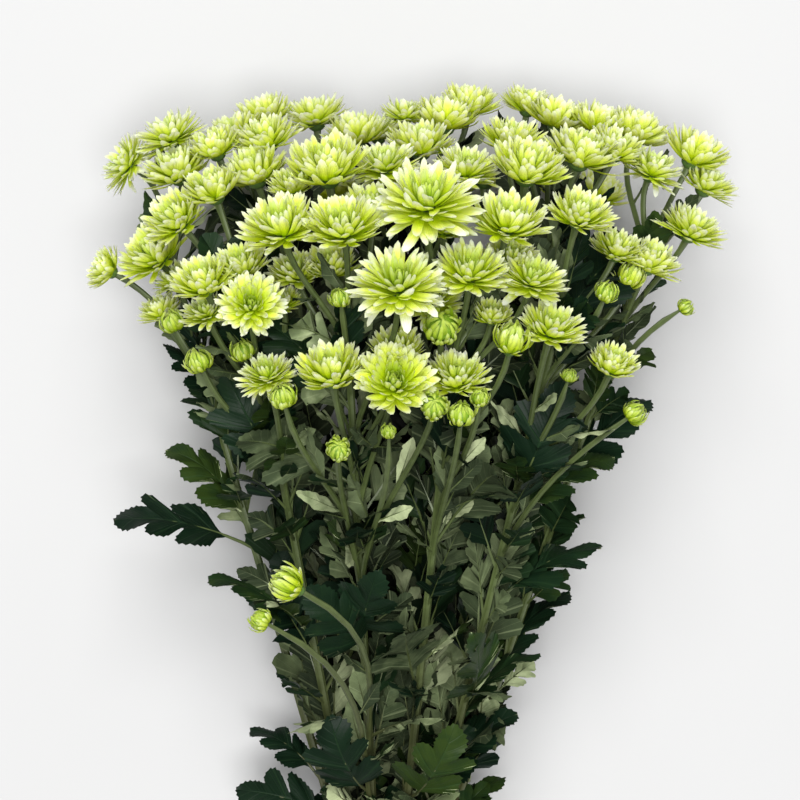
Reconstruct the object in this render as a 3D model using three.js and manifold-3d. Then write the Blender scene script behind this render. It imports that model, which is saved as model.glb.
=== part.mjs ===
// A tied bunch of spray chrysanthemums, lying on its back on a flat surface.
// Millimetres, +Z up. The stems run along Y, with the flower heads towards +Y.
//
// Twelve stems are held side by side by a rubber band and fan out above it. Each stem carries
// lobed leaves, thin side branches that end in a green cup or in a closed bud, and the flower
// heads that sit on those cups. A stem with its leaves, branches, buds and smallest heads is one
// solid, and so is each larger flower head, or a few heads that have grown into each other.
import * as THREE from 'three';
import { mergeVertices } from 'three/addons/utils/BufferGeometryUtils.js';
import Module from 'manifold-3d';

const wasm = await Module();
wasm.setup();

// ---- driving dimensions ----------------------------------------------------

const TILT = THREE.MathUtils.degToRad(12); // rise of the bunch's middle line towards the heads
const CUT_Y = -500; // cut ends
const TIE_Y = -385; // rubber band
const TIE_HALF = 5; // the stems run straight this far to both sides of the tie
const CROWN_Y = 150; // level at which the fan of stems is measured
const TIE_X = -8;
const CROWN_X = 5;
const CUT_AXIS_Z = 17.4; // middle line above the surface, at the cut ends
const CROWN_HALF_WIDTH = 178; // of the fan of stems and leaves, at the crown
const CROWN_HALF_DEPTH = 132;

const STEM_R = 3.25;
const STEM_TIP_R = 2.2;
const STEM_SIDES = 5;
const INNER_RING_R = 4.2; // three stems in the middle of the tie
const OUTER_RING_R = 11.8; // nine stems round them
const CUT_SPREAD = 1.25; // how far the cut ends spread below the tie
const BRANCH_R = 1.9;
const BRANCH_SIDES = 4;
const BRANCH_STEP = 55; // length of a straight stretch of branch
const CUP_R = 0.27; // green cup under a head, as a share of the head's radius

const BAND_R = 15.5;
const BAND_THICK = 1.6;
const BAND_WIDTH = 6;
const BAND_SIDES = 18;

const GAP = 0.3; // between neighbouring solids
const FINEST = 0.03; // the smallest detail that is kept
const FLOOR = 0; // the surface that the bunch lies on
const LEAF_CLEAR = 1.2; // a leaf's middle layer stays this far above the surface
const LEAF_THICK = 1.7; // at the midrib
const PETIOLE = 0.24; // stalk, as a share of a leaf's whole length
const PETIOLE_R = 1.3;

// Stems: the angle at which each sits in the tie, where it points to at the crown (x, z), and
// how far up its own stalk goes before it ends in side branches.
const STEMS = [
  { name: 'stem_right', ring: OUTER_RING_R, angle: 0, x: 180, z: 150, top: 95 },
  { name: 'stem_front_right', ring: OUTER_RING_R, angle: 40, x: 125, z: 232, top: 35 },
  { name: 'stem_front_mid_right', ring: OUTER_RING_R, angle: 80, x: 45, z: 272, top: 30 },
  { name: 'stem_front_mid_left', ring: OUTER_RING_R, angle: 120, x: -38, z: 272, top: 30 },
  { name: 'stem_front_left', ring: OUTER_RING_R, angle: 160, x: -112, z: 235, top: 35 },
  { name: 'stem_left', ring: OUTER_RING_R, angle: 200, x: -168, z: 150, top: 85 },
  { name: 'stem_back_left', ring: OUTER_RING_R, angle: 240, x: -100, z: 66, top: 105 },
  { name: 'stem_back_mid', ring: OUTER_RING_R, angle: 280, x: 2, z: 58, top: 105 },
  { name: 'stem_back_right', ring: OUTER_RING_R, angle: 320, x: 108, z: 66, top: 105 },
  { name: 'stem_inner_mid', ring: INNER_RING_R, angle: 60, x: 22, z: 180, top: 85 },
  { name: 'stem_inner_left', ring: INNER_RING_R, angle: 180, x: -78, z: 172, top: 85 },
  { name: 'stem_inner_right', ring: INNER_RING_R, angle: 300, x: 104, z: 165, top: 85 },
];

// Flower heads: centre (x, y, z) and width, and for some the way they look and the number of
// the stem that carries them. Each inner list is one solid.
const head = (x, y, z, width, form = 'open', faces = null, stem = null) => {
  return { x, y, z, width, form, faces, stem };
};
const LEFT = [-0.85, 0.45, 0.25];
const UPPER_LEFT = [-0.55, 0.65, 0.5];
const VIEWER = [0.05, 0.45, 0.9];
const HEADS = {
  back: [
    [head(-112, 182, 110, 40), head(-93, 196, 92, 42)],
    [head(-58, 196, 90, 43)],
    [head(-30, 181, 118, 43), head(-15, 184, 100, 36), head(3, 196, 100, 33)],
    [head(14, 172, 150, 45)],
    [head(31, 193, 102, 46), head(47, 203, 88, 42)],
    [head(88, 204, 82, 37), head(108, 193, 100, 44)],
    [head(134, 188, 112, 42), head(160, 183, 112, 46)],
    [head(198, 167, 128, 46), head(206, 147, 122, 39)],
    [head(192, 115, 170, 42)],
    [head(74, 173, 164, 43)],
  ],
  middle: [
    [head(-187, 160, 120, 38, 'open', LEFT)],
    [head(-154, 180, 134, 43), head(-148, 155, 152, 46), head(-122, 168, 160, 38)],
    [head(-121, 138, 202, 42), head(-146, 119, 198, 44, 'open', UPPER_LEFT)],
    [head(-95, 151, 186, 46), head(-88, 174, 166, 42)],
    [head(-163, 98, 166, 48, 'open', UPPER_LEFT)],
    [head(-195, 87, 150, 31, 'open', LEFT)],
    [head(-47, 152, 220, 56), head(-69, 139, 215, 32)],
    [head(-10, 155, 200, 42)],
    [head(43, 152, 202, 42)],
    [head(82, 151, 220, 50)],
    [head(119, 164, 178, 50), head(142, 167, 162, 40), head(167, 155, 156, 40)],
  ],
  front: [
    [head(-74, 111, 280, 50)],
    [head(-35, 110, 290, 48)],
    [head(17, 128, 288, 60)],
    [head(68, 114, 270, 48)],
    [head(114, 120, 238, 42)],
    [head(-124, 77, 250, 42), head(-101, 87, 238, 38)],
    [head(-92, 61, 268, 38, 'open', VIEWER)],
    [head(-1, 76, 302, 52)],
    [head(44, 83, 280, 45)],
    [head(83, 79, 258, 40), head(70, 92, 240, 36)],
    [head(95, 48, 260, 40)],
    [head(141, 100, 192, 36), head(163, 93, 180, 40)],
    [head(-18, 124, 238, 40)],
    [head(20, 66, 250, 38)],
    [head(-66, 84, 232, 36), head(-44, 87, 238, 36)],
  ],
  low: [
    [head(-43, 21, 265, 46)],
    [head(-3, 14, 278, 48, 'open', VIEWER), head(-2, 34, 262, 36)],
    [head(-84, 19, 245, 34)],
    [head(36, 18, 250, 40)],
    [head(69, 36, 262, 27, 'half')],
    [head(136, 25, 220, 35)],
    [head(-68, -116, 252, 26, 'half', LEFT)],
  ],
  under: [
    [head(-128, 152, 36, 40), head(-106, 160, 19.6, 42)],
    [head(-50, 150, 19.4, 42), head(-24, 158, 26, 42)],
    [head(34, 152, 19.4, 42), head(60, 160, 28, 42)],
    [head(116, 152, 19.6, 42), head(140, 147, 34, 40)],
  ],
};

// Smaller heads and closed buds low on the bunch: each is one solid with its stem.
const SIDE_HEADS = [
  head(28, 111, 250, 32),
  head(-158, 61, 150, 30),
  head(-123, 58, 235, 30),
  head(-75, 64, 225, 26),
  head(58, 55, 245, 27),
  head(148, 78, 185, 22, 'half'),
  head(-148, 82, 160, 30),
];
const BUDS = [
  head(21, -3, 277, 20, 'bud', VIEWER, 3),
  head(38, -8, 265, 19, 'bud'),
  head(50, 2, 256, 14, 'bud'),
  head(-7, -19, 272, 11, 'bud'),
  head(-38, -30, 270, 17, 'bud', VIEWER),
  head(-73, 3, 262, 19, 'bud'),
  head(-128, 26, 216, 20, 'bud'),
  head(-147, 51, 190, 18, 'bud'),
  head(-100, 32, 224, 17, 'bud'),
  head(-37, 64, 268, 15, 'bud'),
  head(26, 46, 270, 25, 'bud', VIEWER),
  head(107, 16, 230, 11, 'bud'),
  head(151, -8, 200, 17, 'bud', [0.8, 0.55, 0.2]),
  head(187, 61, 160, 13, 'bud', [0.85, 0.5, 0.1]),
  head(131, 69, 222, 16, 'bud'),
  head(-88, -137, 250, 16, 'bud', LEFT),
];

// Profiles from the cup to the middle of a head, in shares of its radius: [radius, height].
// A ring with both tips and notches is a whorl of pointed petals.
const FORMS = {
  open: {
    base: [0.27, 0],
    whorls: [
      { tips: [1.0, 0.6], notches: [0.76, 0.48], valley: [0.54, 0.56] },
      { tips: [0.7, 1.02], notches: [0.46, 0.88], valley: [0.24, 0.74] },
    ],
    middle: 0.86,
    core: 0.5,
  },
  half: {
    base: [0.3, 0],
    whorls: [
      { tips: [1.0, 0.7], notches: [0.72, 0.45], valley: [0.66, 0.62] },
      { tips: [0.52, 1.5], notches: [0.62, 1.15], valley: [0.2, 1.3] },
    ],
    middle: 1.38,
    core: 0.55,
  },
  bud: {
    base: [0.35, 0],
    whorls: [{ tips: [1.0, 0.85], notches: [0.86, 0.8], valley: [0.5, 1.5] }],
    middle: 1.52,
    core: 0.8,
  },
};
// Width of a head for each petal of a whorl.
const PETAL_PITCH = { back: 7.7, middle: 7, front: 6.9, low: 6.6, under: 8, side: 6.8, bud: 4.2 };

// Outline of half a leaf: [place along the midrib, half width], in shares of its whole length.
const LEAF_RIM = {
  stalk: [PETIOLE, 0.014],
  lowerLobe: [0.53, 0.27],
  lowerNotch: [0.5, 0.1],
  upperLobe: [0.79, 0.24],
  upperNotch: [0.77, 0.12],
};
const LEAF_RIB = [PETIOLE, 0.44, 0.69];

// Leaves that show at the edges and in front: where on the stalk each starts (stem number and
// level), its tip, the direction its upper face looks in, and how far it bows up on the way.
const leafTo = (stem, y, tip, faces, bow = 0.25) => ({ stem, y, tip, faces, bow });
const SHOWN_LEAVES = [
  // left edge, from the top down
  leafTo(5, -10, [-157, 36, 130], [0.75, 0.41, 0.52]),
  leafTo(5, -56, [-144, 11, 66], [0.61, 0.61, 0.5]),
  leafTo(5, -96, [-158, -34, 98], [0.64, 0.61, 0.47]),
  leafTo(5, -100, [-190, -80, 128], [0.34, 0.77, 0.53], 0.14),
  leafTo(4, -166, [-127, -119, 132], [0.53, 0.71, 0.47]),
  leafTo(5, -264, [-103, -227, 56], [0.39, 0.66, 0.64]),
  leafTo(4, -286, [-111, -266, 74], [0.08, 0.57, 0.82], 0.16),
  // right edge, from the top down
  leafTo(0, -66, [168, 0, 114], [-0.56, 0.43, 0.7]),
  leafTo(1, -86, [141, -38, 150], [-0.49, 0.74, 0.47], 0.2),
  leafTo(0, -142, [125, -79, 88], [-0.71, 0.5, 0.5]),
  leafTo(1, -144, [134, -99, 120], [-0.37, 0.77, 0.53], 0.22),
  leafTo(0, -205, [116, -132, 74], [-0.71, 0.55, 0.44]),
  leafTo(1, -232, [94, -170, 108], [-0.71, 0.64, 0.29]),
  leafTo(1, -280, [79, -211, 104], [-0.76, 0.47, 0.46]),
  leafTo(0, -326, [72, -259, 58], [-0.67, 0.47, 0.57]),
  // front
  leafTo(2, -96, [60, -47, 238], [0.15, 0.5, -0.9]),
  leafTo(3, -56, [-101, -26, 226], [-0.1, 0.5, -0.9]),
  leafTo(2, -196, [4, -150, 214], [-0.2, 0.4, -0.9], 0.15),
  leafTo(1, -202, [47, -150, 186], [0.2, 0.4, 0.9], 0.15),
  leafTo(3, -164, [-58, -118, 214], [0.2, -0.1, 1]),
  leafTo(3, -156, [-14, -108, 226], [-0.2, -0.1, 1], 0.15),
  leafTo(3, -264, [-46, -206, 160], [-0.3, 0.2, 1]),
  leafTo(2, -268, [36, -212, 158], [0.3, 0.2, 1]),
  // under the front heads
  leafTo(1, 26, [156, 100, 152], [-0.6, 0.2, 0.8]),
  leafTo(1, -62, [104, 12, 200], [0.2, 0.4, 0.9]),
  leafTo(3, -8, [-92, 52, 205], [0.4, 0.3, 0.9]),
  leafTo(4, -54, [-112, 18, 196], [-0.2, 0.4, 0.9]),
];

// Tiers of leaves round the bunch: the level of their stalks, how many, and their length.
const TIERS = [
  { y: -304, count: 5, length: 78, turn: 52 },
  { y: -250, count: 6, length: 80, turn: 12 },
  { y: -194, count: 8, length: 82, turn: 40 },
  { y: -144, count: 9, length: 86, turn: 0 },
  { y: -94, count: 9, length: 86, turn: 22 },
  { y: -44, count: 9, length: 84, turn: 5 },
  { y: 6, count: 4, length: 74, turn: 205 },
];
const TIER_SPREAD = 31; // a tier's leaf gives way to a shown leaf within this angle, in degrees,
const TIER_REACH = 45; // and this distance along the bunch
const TIER_RISE = 0.5; // rise of the middle of a tier's leaf above its foot, per length
const LEAF_HEART = 0.6; // place of the widest part, along the midrib

// ---- small helpers ---------------------------------------------------------

const vec = (x, y, z) => new THREE.Vector3(x, y, z);
const mix = (a, b, t) => a + (b - a) * t;
const along = (start, direction, distance) => start.clone().addScaledVector(direction, distance);

/** A repeatable draw between 0 and 1 for item i of series s. */
function draw(i, s) {
  const wave = Math.sin(i * 127.1 + s * 311.7 + 74.7) * 43758.5453;
  return wave - Math.floor(wave);
}

/** A unit vector square to `direction`, as near as can be to `reference`. */
function squareTo(direction, reference) {
  const side = reference.clone().addScaledVector(direction, -reference.dot(direction));
  return side.normalize();
}

/** A list of points and triangles that closes into one body. */
class Shell {
  points = [];
  faces = [];

  point(p) {
    this.points.push(p);
    return this.points.length - 1;
  }

  triangle(a, b, c) {
    this.faces.push(a, b, c);
  }

  /** Joins two closed rings of point numbers whose counts are n and n, n and 2n, or 2n and n. */
  join(lower, upper) {
    const n = Math.max(lower.length, upper.length);
    const lowerStep = lower.length / n;
    const upperStep = upper.length / n;
    for (let i = 0; i < n; i += 1) {
      const a = lower[Math.floor(i * lowerStep)];
      const b = lower[Math.floor((i + 1) * lowerStep) % lower.length];
      const c = upper[Math.floor(i * upperStep)];
      const d = upper[Math.floor((i + 1) * upperStep) % upper.length];
      if (a !== b) this.triangle(a, b, d);
      if (c !== d) this.triangle(a, d, c);
    }
  }

  /** Closes a ring with a fan about one of its own points, facing down or up the rings. */
  cap(ring, up) {
    for (let i = 1; i + 1 < ring.length; i += 1) {
      if (up) this.triangle(ring[0], ring[i], ring[i + 1]);
      else this.triangle(ring[0], ring[i + 1], ring[i]);
    }
  }

  solid() {
    const mesh = new wasm.Mesh({
      numProp: 3,
      vertProperties: new Float32Array(this.points.flatMap((p) => p.toArray())),
      triVerts: new Uint32Array(this.faces),
    });
    return new wasm.Manifold(mesh);
  }
}

// ---- the frame of the bunch ------------------------------------------------

const risen = (y) => (y - TIE_Y) / (CROWN_Y - TIE_Y);

function middleLine(y) {
  return vec(mix(TIE_X, CROWN_X, risen(y)), y, CUT_AXIS_Z + (y - CUT_Y) * Math.tan(TILT));
}

/** The centre line of a stem at level y: packed in the tie, and fanned out above it. */
function stemPoint(stem, y) {
  const angle = THREE.MathUtils.degToRad(stem.angle);
  const packed = vec(Math.cos(angle), 0, Math.sin(angle)).multiplyScalar(stem.ring);
  const middle = middleLine(y);
  const below = TIE_Y - TIE_HALF - y;
  const above = y - TIE_Y - TIE_HALF;
  if (below > 0) {
    packed.multiplyScalar(mix(1, CUT_SPREAD, below / (TIE_Y - TIE_HALF - CUT_Y)));
  }
  if (above > 0) {
    const crown = middleLine(CROWN_Y);
    const fanned = vec(stem.x - crown.x, 0, stem.z - crown.z);
    packed.lerp(fanned, above / (CROWN_Y - TIE_Y - TIE_HALF));
  }
  return middle.add(packed);
}

function stemDirection(stem, y) {
  return stemPoint(stem, y + 1).sub(stemPoint(stem, y)).normalize();
}

/** Where a head looks: up the bunch, a little outwards, and towards the viewer in front. */
function headAxis(item) {
  if (item.faces) return vec(...item.faces).normalize();
  const outwards = (0.5 * (item.x - CROWN_X)) / CROWN_HALF_WIDTH;
  return vec(outwards, 1, 0.16 + (0.5 * (item.z - 110)) / 180).normalize();
}

/** The stem whose line passes nearest to a head, seen along the bunch. */
function nearestStem(item) {
  let best = 0;
  let bestDistance = Infinity;
  STEMS.forEach((stem, number) => {
    const p = stemPoint(stem, item.y);
    const distance = Math.hypot(p.x - item.x, p.z - item.z);
    if (distance < bestDistance) {
      best = number;
      bestDistance = distance;
    }
  });
  return best;
}

// ---- tubes: stalks and side branches ---------------------------------------

/** A closed tube of flat-sided rings, none of it below the surface. */
function tube(centres, radii, sides, grow = 0) {
  const shell = new Shell();
  let side = vec(1, 0, 0);
  const rings = centres.map((centre, i) => {
    const before = centres[Math.max(i - 1, 0)];
    const after = centres[Math.min(i + 1, centres.length - 1)];
    const direction = after.clone().sub(before).normalize();
    side = squareTo(direction, side);
    const across = direction.clone().cross(side);
    const ring = [];
    for (let j = 0; j < sides; j += 1) {
      const angle = (2 * Math.PI * j) / sides;
      const p = along(centre, side, (radii[i] + grow) * Math.cos(angle));
      p.addScaledVector(across, (radii[i] + grow) * Math.sin(angle));
      p.z = Math.max(p.z, FLOOR);
      ring.push(shell.point(p));
    }
    return ring;
  });
  shell.cap(rings[0], false);
  for (let i = 1; i < rings.length; i += 1) shell.join(rings[i - 1], rings[i]);
  shell.cap(rings[rings.length - 1], true);
  return shell.solid();
}

function stalk(stem, grow) {
  const levels = [CUT_Y, TIE_Y - TIE_HALF, TIE_Y + TIE_HALF, -200, stem.top];
  const radii = levels.map((y) => mix(STEM_R, STEM_TIP_R, Math.max(0, risen(y))));
  return tube(levels.map((y) => stemPoint(stem, y)), radii, STEM_SIDES, grow);
}

/** The line of a side branch, from inside the stalk to the foot of its head. */
function branchLine(item) {
  const stem = STEMS[item.stem];
  const axis = headAxis(item);
  const radius = item.width / 2;
  const foot = along(vec(item.x, item.y, item.z), axis, -FORMS[item.form].core * radius - GAP);
  const beside = stemPoint(stem, foot.y);
  const lateral = Math.hypot(beside.x - foot.x, beside.z - foot.z);
  const start = stemPoint(stem, Math.min(stem.top - 3, foot.y - 22 - 1.15 * lateral));
  const reach = start.distanceTo(foot);
  const leave = stemDirection(stem, start.y);
  leave.lerp(foot.clone().sub(start).normalize(), 0.35).normalize();
  return new THREE.CubicBezierCurve3(
    start,
    along(start, leave, reach * 0.33),
    along(foot, axis, -reach * 0.36),
    foot,
  );
}

/** A side branch that widens into the green cup under its head. */
function branch(item, grow) {
  const line = branchLine(item);
  const axis = headAxis(item);
  const radius = item.width / 2;
  const steps = Math.max(2, Math.round(line.getLength() / BRANCH_STEP));
  const centres = [];
  const radii = [];
  for (let i = 0; i < steps; i += 1) {
    centres.push(line.getPoint(i / steps));
    radii.push(BRANCH_R);
  }
  const foot = line.getPoint(1);
  const cup = item.form === 'bud' ? FORMS.bud.base[0] : CUP_R;
  centres.push(along(foot, axis, -0.28 * radius));
  radii.push(BRANCH_R);
  centres.push(item.grown ? along(foot, axis, 2 * GAP) : foot);
  radii.push(cup * radius);
  return tube(centres, radii, BRANCH_SIDES, grow);
}

// ---- flower heads and buds -------------------------------------------------

/**
 * A head: a cup-shaped body whose surface rises into whorls of pointed petals. It stays on its
 * own side of each plane in `walls`, because every point is pulled in towards its core.
 */
function bloom(item, walls, grow = 0) {
  const form = FORMS[item.form];
  const radius = item.width / 2;
  const scale = (radius + grow) / radius;
  const axis = headAxis(item);
  const core = vec(item.x, item.y, item.z);
  const right = squareTo(axis, vec(1, 0.3, 0.2));
  const ahead = axis.clone().cross(right);
  const petals = Math.max(5, Math.round(item.width / PETAL_PITCH[item.row]));
  const turn = draw(item.number, 1) * 2 * Math.PI;
  const shell = new Shell();

  const place = (r, height, angle) => {
    const p = vec(0, 0, 0).addScaledVector(axis, (height - form.core) * radius);
    p.addScaledVector(right, r * radius * Math.cos(angle));
    p.addScaledVector(ahead, r * radius * Math.sin(angle));
    p.multiplyScalar(scale);
    for (const wall of walls) {
      const reach = p.dot(wall.normal);
      if (reach > wall.distance) p.multiplyScalar(wall.distance / reach);
    }
    return shell.point(p.add(core));
  };
  const ringOf = (count, shift, pick) => {
    const ring = [];
    for (let j = 0; j < count; j += 1) {
      const [r, height] = pick(j);
      ring.push(place(r, height, turn + (2 * Math.PI * (j + shift)) / count));
    }
    return ring;
  };

  let ring = ringOf(petals, 0, () => form.base);
  shell.cap(ring, false);
  form.whorls.forEach((whorl) => {
    const petalRing = ringOf(2 * petals, 0, (j) => (j % 2 ? whorl.tips : whorl.notches));
    const valley = ringOf(petals, 0, () => whorl.valley);
    shell.join(ring, petalRing);
    shell.join(petalRing, valley);
    ring = valley;
  });
  const middle = place(0, form.middle, 0);
  for (let j = 0; j < petals; j += 1) {
    shell.triangle(ring[j], ring[(j + 1) % petals], middle);
  }
  return shell.solid();
}

/** The planes that part a head from the heads of other solids, and from the surface. */
function wallsOf(item, all) {
  const core = vec(item.x, item.y, item.z);
  const walls = [{ normal: vec(0, 0, -1), distance: core.z - FLOOR }];
  for (const other of all) {
    if (other.solid === item.solid) continue;
    const apart = vec(other.x, other.y, other.z).sub(core);
    const room = apart.length();
    if (room > (item.width + other.width) * 0.55) continue;
    const share = item.width / (item.width + other.width);
    walls.push({ normal: apart.normalize(), distance: room * share - GAP / 2 });
  }
  return walls;
}

// ---- leaves ----------------------------------------------------------------

/** Midrib of a leaf of a tier: it leaves the stalk at a low angle and bends outwards. */
function tierRib(leaf) {
  const start = stemPoint(STEMS[leaf.stem], leaf.y);
  const middle = middleLine(leaf.y);
  const crown = middleLine(CROWN_Y);
  const edge = vec(
    crown.x + CROWN_HALF_WIDTH * Math.cos(leaf.angle),
    CROWN_Y,
    crown.z + CROWN_HALF_DEPTH * Math.sin(leaf.angle),
  );
  const up = edge.clone().sub(middle).normalize();
  const outwards = squareTo(up, vec(Math.cos(leaf.angle), 0, Math.sin(leaf.angle)));
  const heading = (degrees) => {
    const angle = THREE.MathUtils.degToRad(degrees);
    return up.clone().multiplyScalar(Math.cos(angle)).addScaledVector(outwards, Math.sin(angle));
  };
  const tip = along(start, heading(leaf.lean), leaf.length);
  return new THREE.CubicBezierCurve3(
    start,
    along(start, heading(leaf.lean - 8), leaf.length / 3),
    along(tip, heading(leaf.lean + leaf.curl), -leaf.length / 3),
    tip,
  );
}

/** Midrib of a leaf that is placed by its tip: it bows towards its upper face on the way. */
function shownRib(leaf) {
  const start = stemPoint(STEMS[leaf.stem], leaf.y);
  const tip = vec(...leaf.tip);
  const reach = start.distanceTo(tip);
  const away = tip.clone().sub(start).normalize();
  const bow = squareTo(away, vec(...leaf.faces)).multiplyScalar(leaf.bow * reach);
  const towards = (share, lift) => start.clone().lerp(tip, share).addScaledVector(bow, lift);
  return new THREE.CubicBezierCurve3(start, towards(0.3, 0.7), towards(0.7, 1), tip);
}

/** A lobed leaf: thickest along its midrib, with the same triangles on both faces. */
function leafBlade(leaf, grow = 0) {
  const shell = new Shell();
  const facing = vec(...leaf.faces);
  const size = leaf.rib.getLength();
  const at = (t, width, lift) => {
    const tangent = leaf.rib.getTangent(t);
    const side = tangent.clone().cross(facing).normalize();
    const normal = side.clone().cross(tangent);
    const p = along(leaf.rib.getPoint(t), side, width);
    p.addScaledVector(normal, leaf.cup * Math.abs(width));
    p.z = Math.max(p.z, FLOOR + LEAF_CLEAR);
    p.addScaledVector(normal, lift);
    p.z = Math.max(p.z, FLOOR + LEAF_CLEAR / 4);
    return shell.point(p);
  };
  const thick = LEAF_THICK / 2 + grow;
  const ribOf = (face) => [
    at(0, 0, face * (PETIOLE_R + grow)),
    ...LEAF_RIB.map((t) => at(t, 0, face * thick)),
  ];
  const top = ribOf(1);
  const bottom = ribOf(-1);
  const tip = at(1, 0, 0);
  const rims = [1, -1].map((hand) => {
    const rim = { root: at(0, hand * (PETIOLE_R + grow), 0) };
    for (const [name, [t, width]] of Object.entries(LEAF_RIM)) {
      rim[name] = at(t, hand * (width * size + grow), 0);
    }
    return rim;
  });
  rims.forEach((rim, right) => {
    for (const rib of [top, bottom]) {
      const [root, low, mid, high] = rib;
      const blades = [
        [root, rim.root, rim.stalk],
        [root, rim.stalk, low],
        [low, rim.stalk, rim.lowerLobe],
        [low, rim.lowerLobe, mid],
        [mid, rim.lowerLobe, rim.lowerNotch],
        [mid, rim.lowerNotch, high],
        [high, rim.lowerNotch, rim.upperLobe],
        [high, rim.upperLobe, rim.upperNotch],
        [high, rim.upperNotch, tip],
      ];
      const outwards = (rib === top) === (right === 0);
      for (const [a, b, c] of blades) {
        if (outwards) shell.triangle(a, b, c);
        else shell.triangle(a, c, b);
      }
    }
  });
  shell.triangle(top[0], bottom[0], rims[0].root);
  shell.triangle(top[0], rims[1].root, bottom[0]);
  return shell.solid();
}

/** Leaves of all tiers, left out where a shown leaf already fills the place. */
function tierLeaves(shown) {
  const taken = shown.map((leaf) => {
    const heart = leaf.rib.getPoint(LEAF_HEART);
    return { y: heart.y, angle: angleOf(heart) };
  });
  const leaves = [];
  TIERS.forEach((tier, level) => {
    for (let i = 0; i < tier.count; i += 1) {
      const number = level * 16 + i;
      const span = level === TIERS.length - 1 ? 114 : 360;
      const degrees = tier.turn + (span * (i + 0.3 * (draw(number, 2) - 0.5))) / tier.count;
      const angle = THREE.MathUtils.degToRad(degrees);
      const rise = TIER_RISE * tier.length;
      const near = taken.some((place) => {
        const beside = Math.cos(place.angle - angle) > Math.cos(THREE.MathUtils.degToRad(TIER_SPREAD));
        return beside && Math.abs(place.y - tier.y - rise) < TIER_REACH;
      });
      if (near) continue;
      const leaf = {
        stem: stemAt(angle),
        y: tier.y + 12 * (draw(number, 3) - 0.5),
        angle,
        length: tier.length * mix(0.88, 1.08, draw(number, 4)),
        lean: mix(22, 38, draw(number, 5)),
        curl: mix(20, 55, draw(number, 6)),
        cup: mix(0.05, 0.3, draw(number, 7)),
      };
      const roll = THREE.MathUtils.degToRad(mix(-28, 28, draw(number, 8)));
      leaf.faces = [Math.cos(angle + roll), 0.25, Math.sin(angle + roll)];
      leaf.rib = tierRib(leaf);
      leaves.push(leaf);
    }
  });
  return leaves;
}

/** The direction of a point from the middle line, in the squashed round of the bunch. */
function angleOf(point) {
  const middle = middleLine(point.y);
  const across = (point.x - middle.x) / CROWN_HALF_WIDTH;
  return Math.atan2((point.z - middle.z) / CROWN_HALF_DEPTH, across);
}

/** The outer stem that stands nearest to a direction from the middle line. */
function stemAt(angle) {
  let best = 0;
  let bestCos = -2;
  STEMS.forEach((stem, number) => {
    if (stem.ring !== OUTER_RING_R) return;
    const closeness = Math.cos(angleOf(vec(stem.x, CROWN_Y, stem.z)) - angle);
    if (closeness > bestCos) {
      best = number;
      bestCos = closeness;
    }
  });
  return best;
}

// ---- joining and cutting ---------------------------------------------------

/** A piece of a solid: its body, and a slightly larger one that cuts room for it. */
function piece(owner, make) {
  const body = make(0);
  const room = make(GAP);
  return { owner, body, room, box: room.boundingBox() };
}

function boxesMeet(a, b) {
  return [0, 1, 2].every((i) => a.min[i] < b.max[i] && b.min[i] < a.max[i]);
}

/** Cuts room in a body for each piece that belongs to another solid. */
function cutClear(body, owner, others) {
  const box = body.boundingBox();
  return others
    .filter((other) => other.owner !== owner && boxesMeet(box, other.box))
    .reduce((rest, other) => rest.subtract(other.room), body);
}

/** The largest body of a solid, without loose scraps, sealed hollows and the tiniest edges. */
function largest(solid) {
  const bodies = solid.simplify(FINEST).decompose();
  return bodies.reduce((best, body) => (body.volume() > best.volume() ? body : best));
}

const join = (bodies) => bodies.reduce((whole, body) => whole.add(body));

function meshOf(name, solid, material) {
  const { vertProperties, triVerts } = solid.getMesh();
  const geometry = new THREE.BufferGeometry();
  geometry.setAttribute('position', new THREE.BufferAttribute(vertProperties, 3));
  geometry.setIndex(new THREE.BufferAttribute(triVerts, 1));
  const mesh = new THREE.Mesh(geometry, material);
  mesh.name = name;
  return mesh;
}

function material(color, roughness) {
  return new THREE.MeshStandardMaterial({ color, roughness, metalness: 0, flatShading: true });
}

// ---- the tie ---------------------------------------------------------------

function rubberBand() {
  const half = BAND_WIDTH / 2;
  const profile = [
    [BAND_R, -half],
    [BAND_R + BAND_THICK, -half],
    [BAND_R + BAND_THICK, half],
    [BAND_R, half],
    [BAND_R, -half],
  ].map(([r, h]) => new THREE.Vector2(r, h));
  const ring = new THREE.LatheGeometry(profile, BAND_SIDES);
  ring.deleteAttribute('normal');
  ring.deleteAttribute('uv');
  const mesh = new THREE.Mesh(mergeVertices(ring), material('#8a6a3c', 0.6));
  mesh.name = 'band';
  const middle = middleLine(TIE_Y);
  const direction = middleLine(TIE_Y + 1).sub(middle).normalize();
  mesh.position.copy(middle);
  mesh.quaternion.setFromUnitVectors(vec(0, 1, 0), direction);
  return mesh;
}

// ---- the bunch -------------------------------------------------------------

const BLOOM_COLOURS = { open: '#c9dd62', half: '#a9c62f' };

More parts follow.
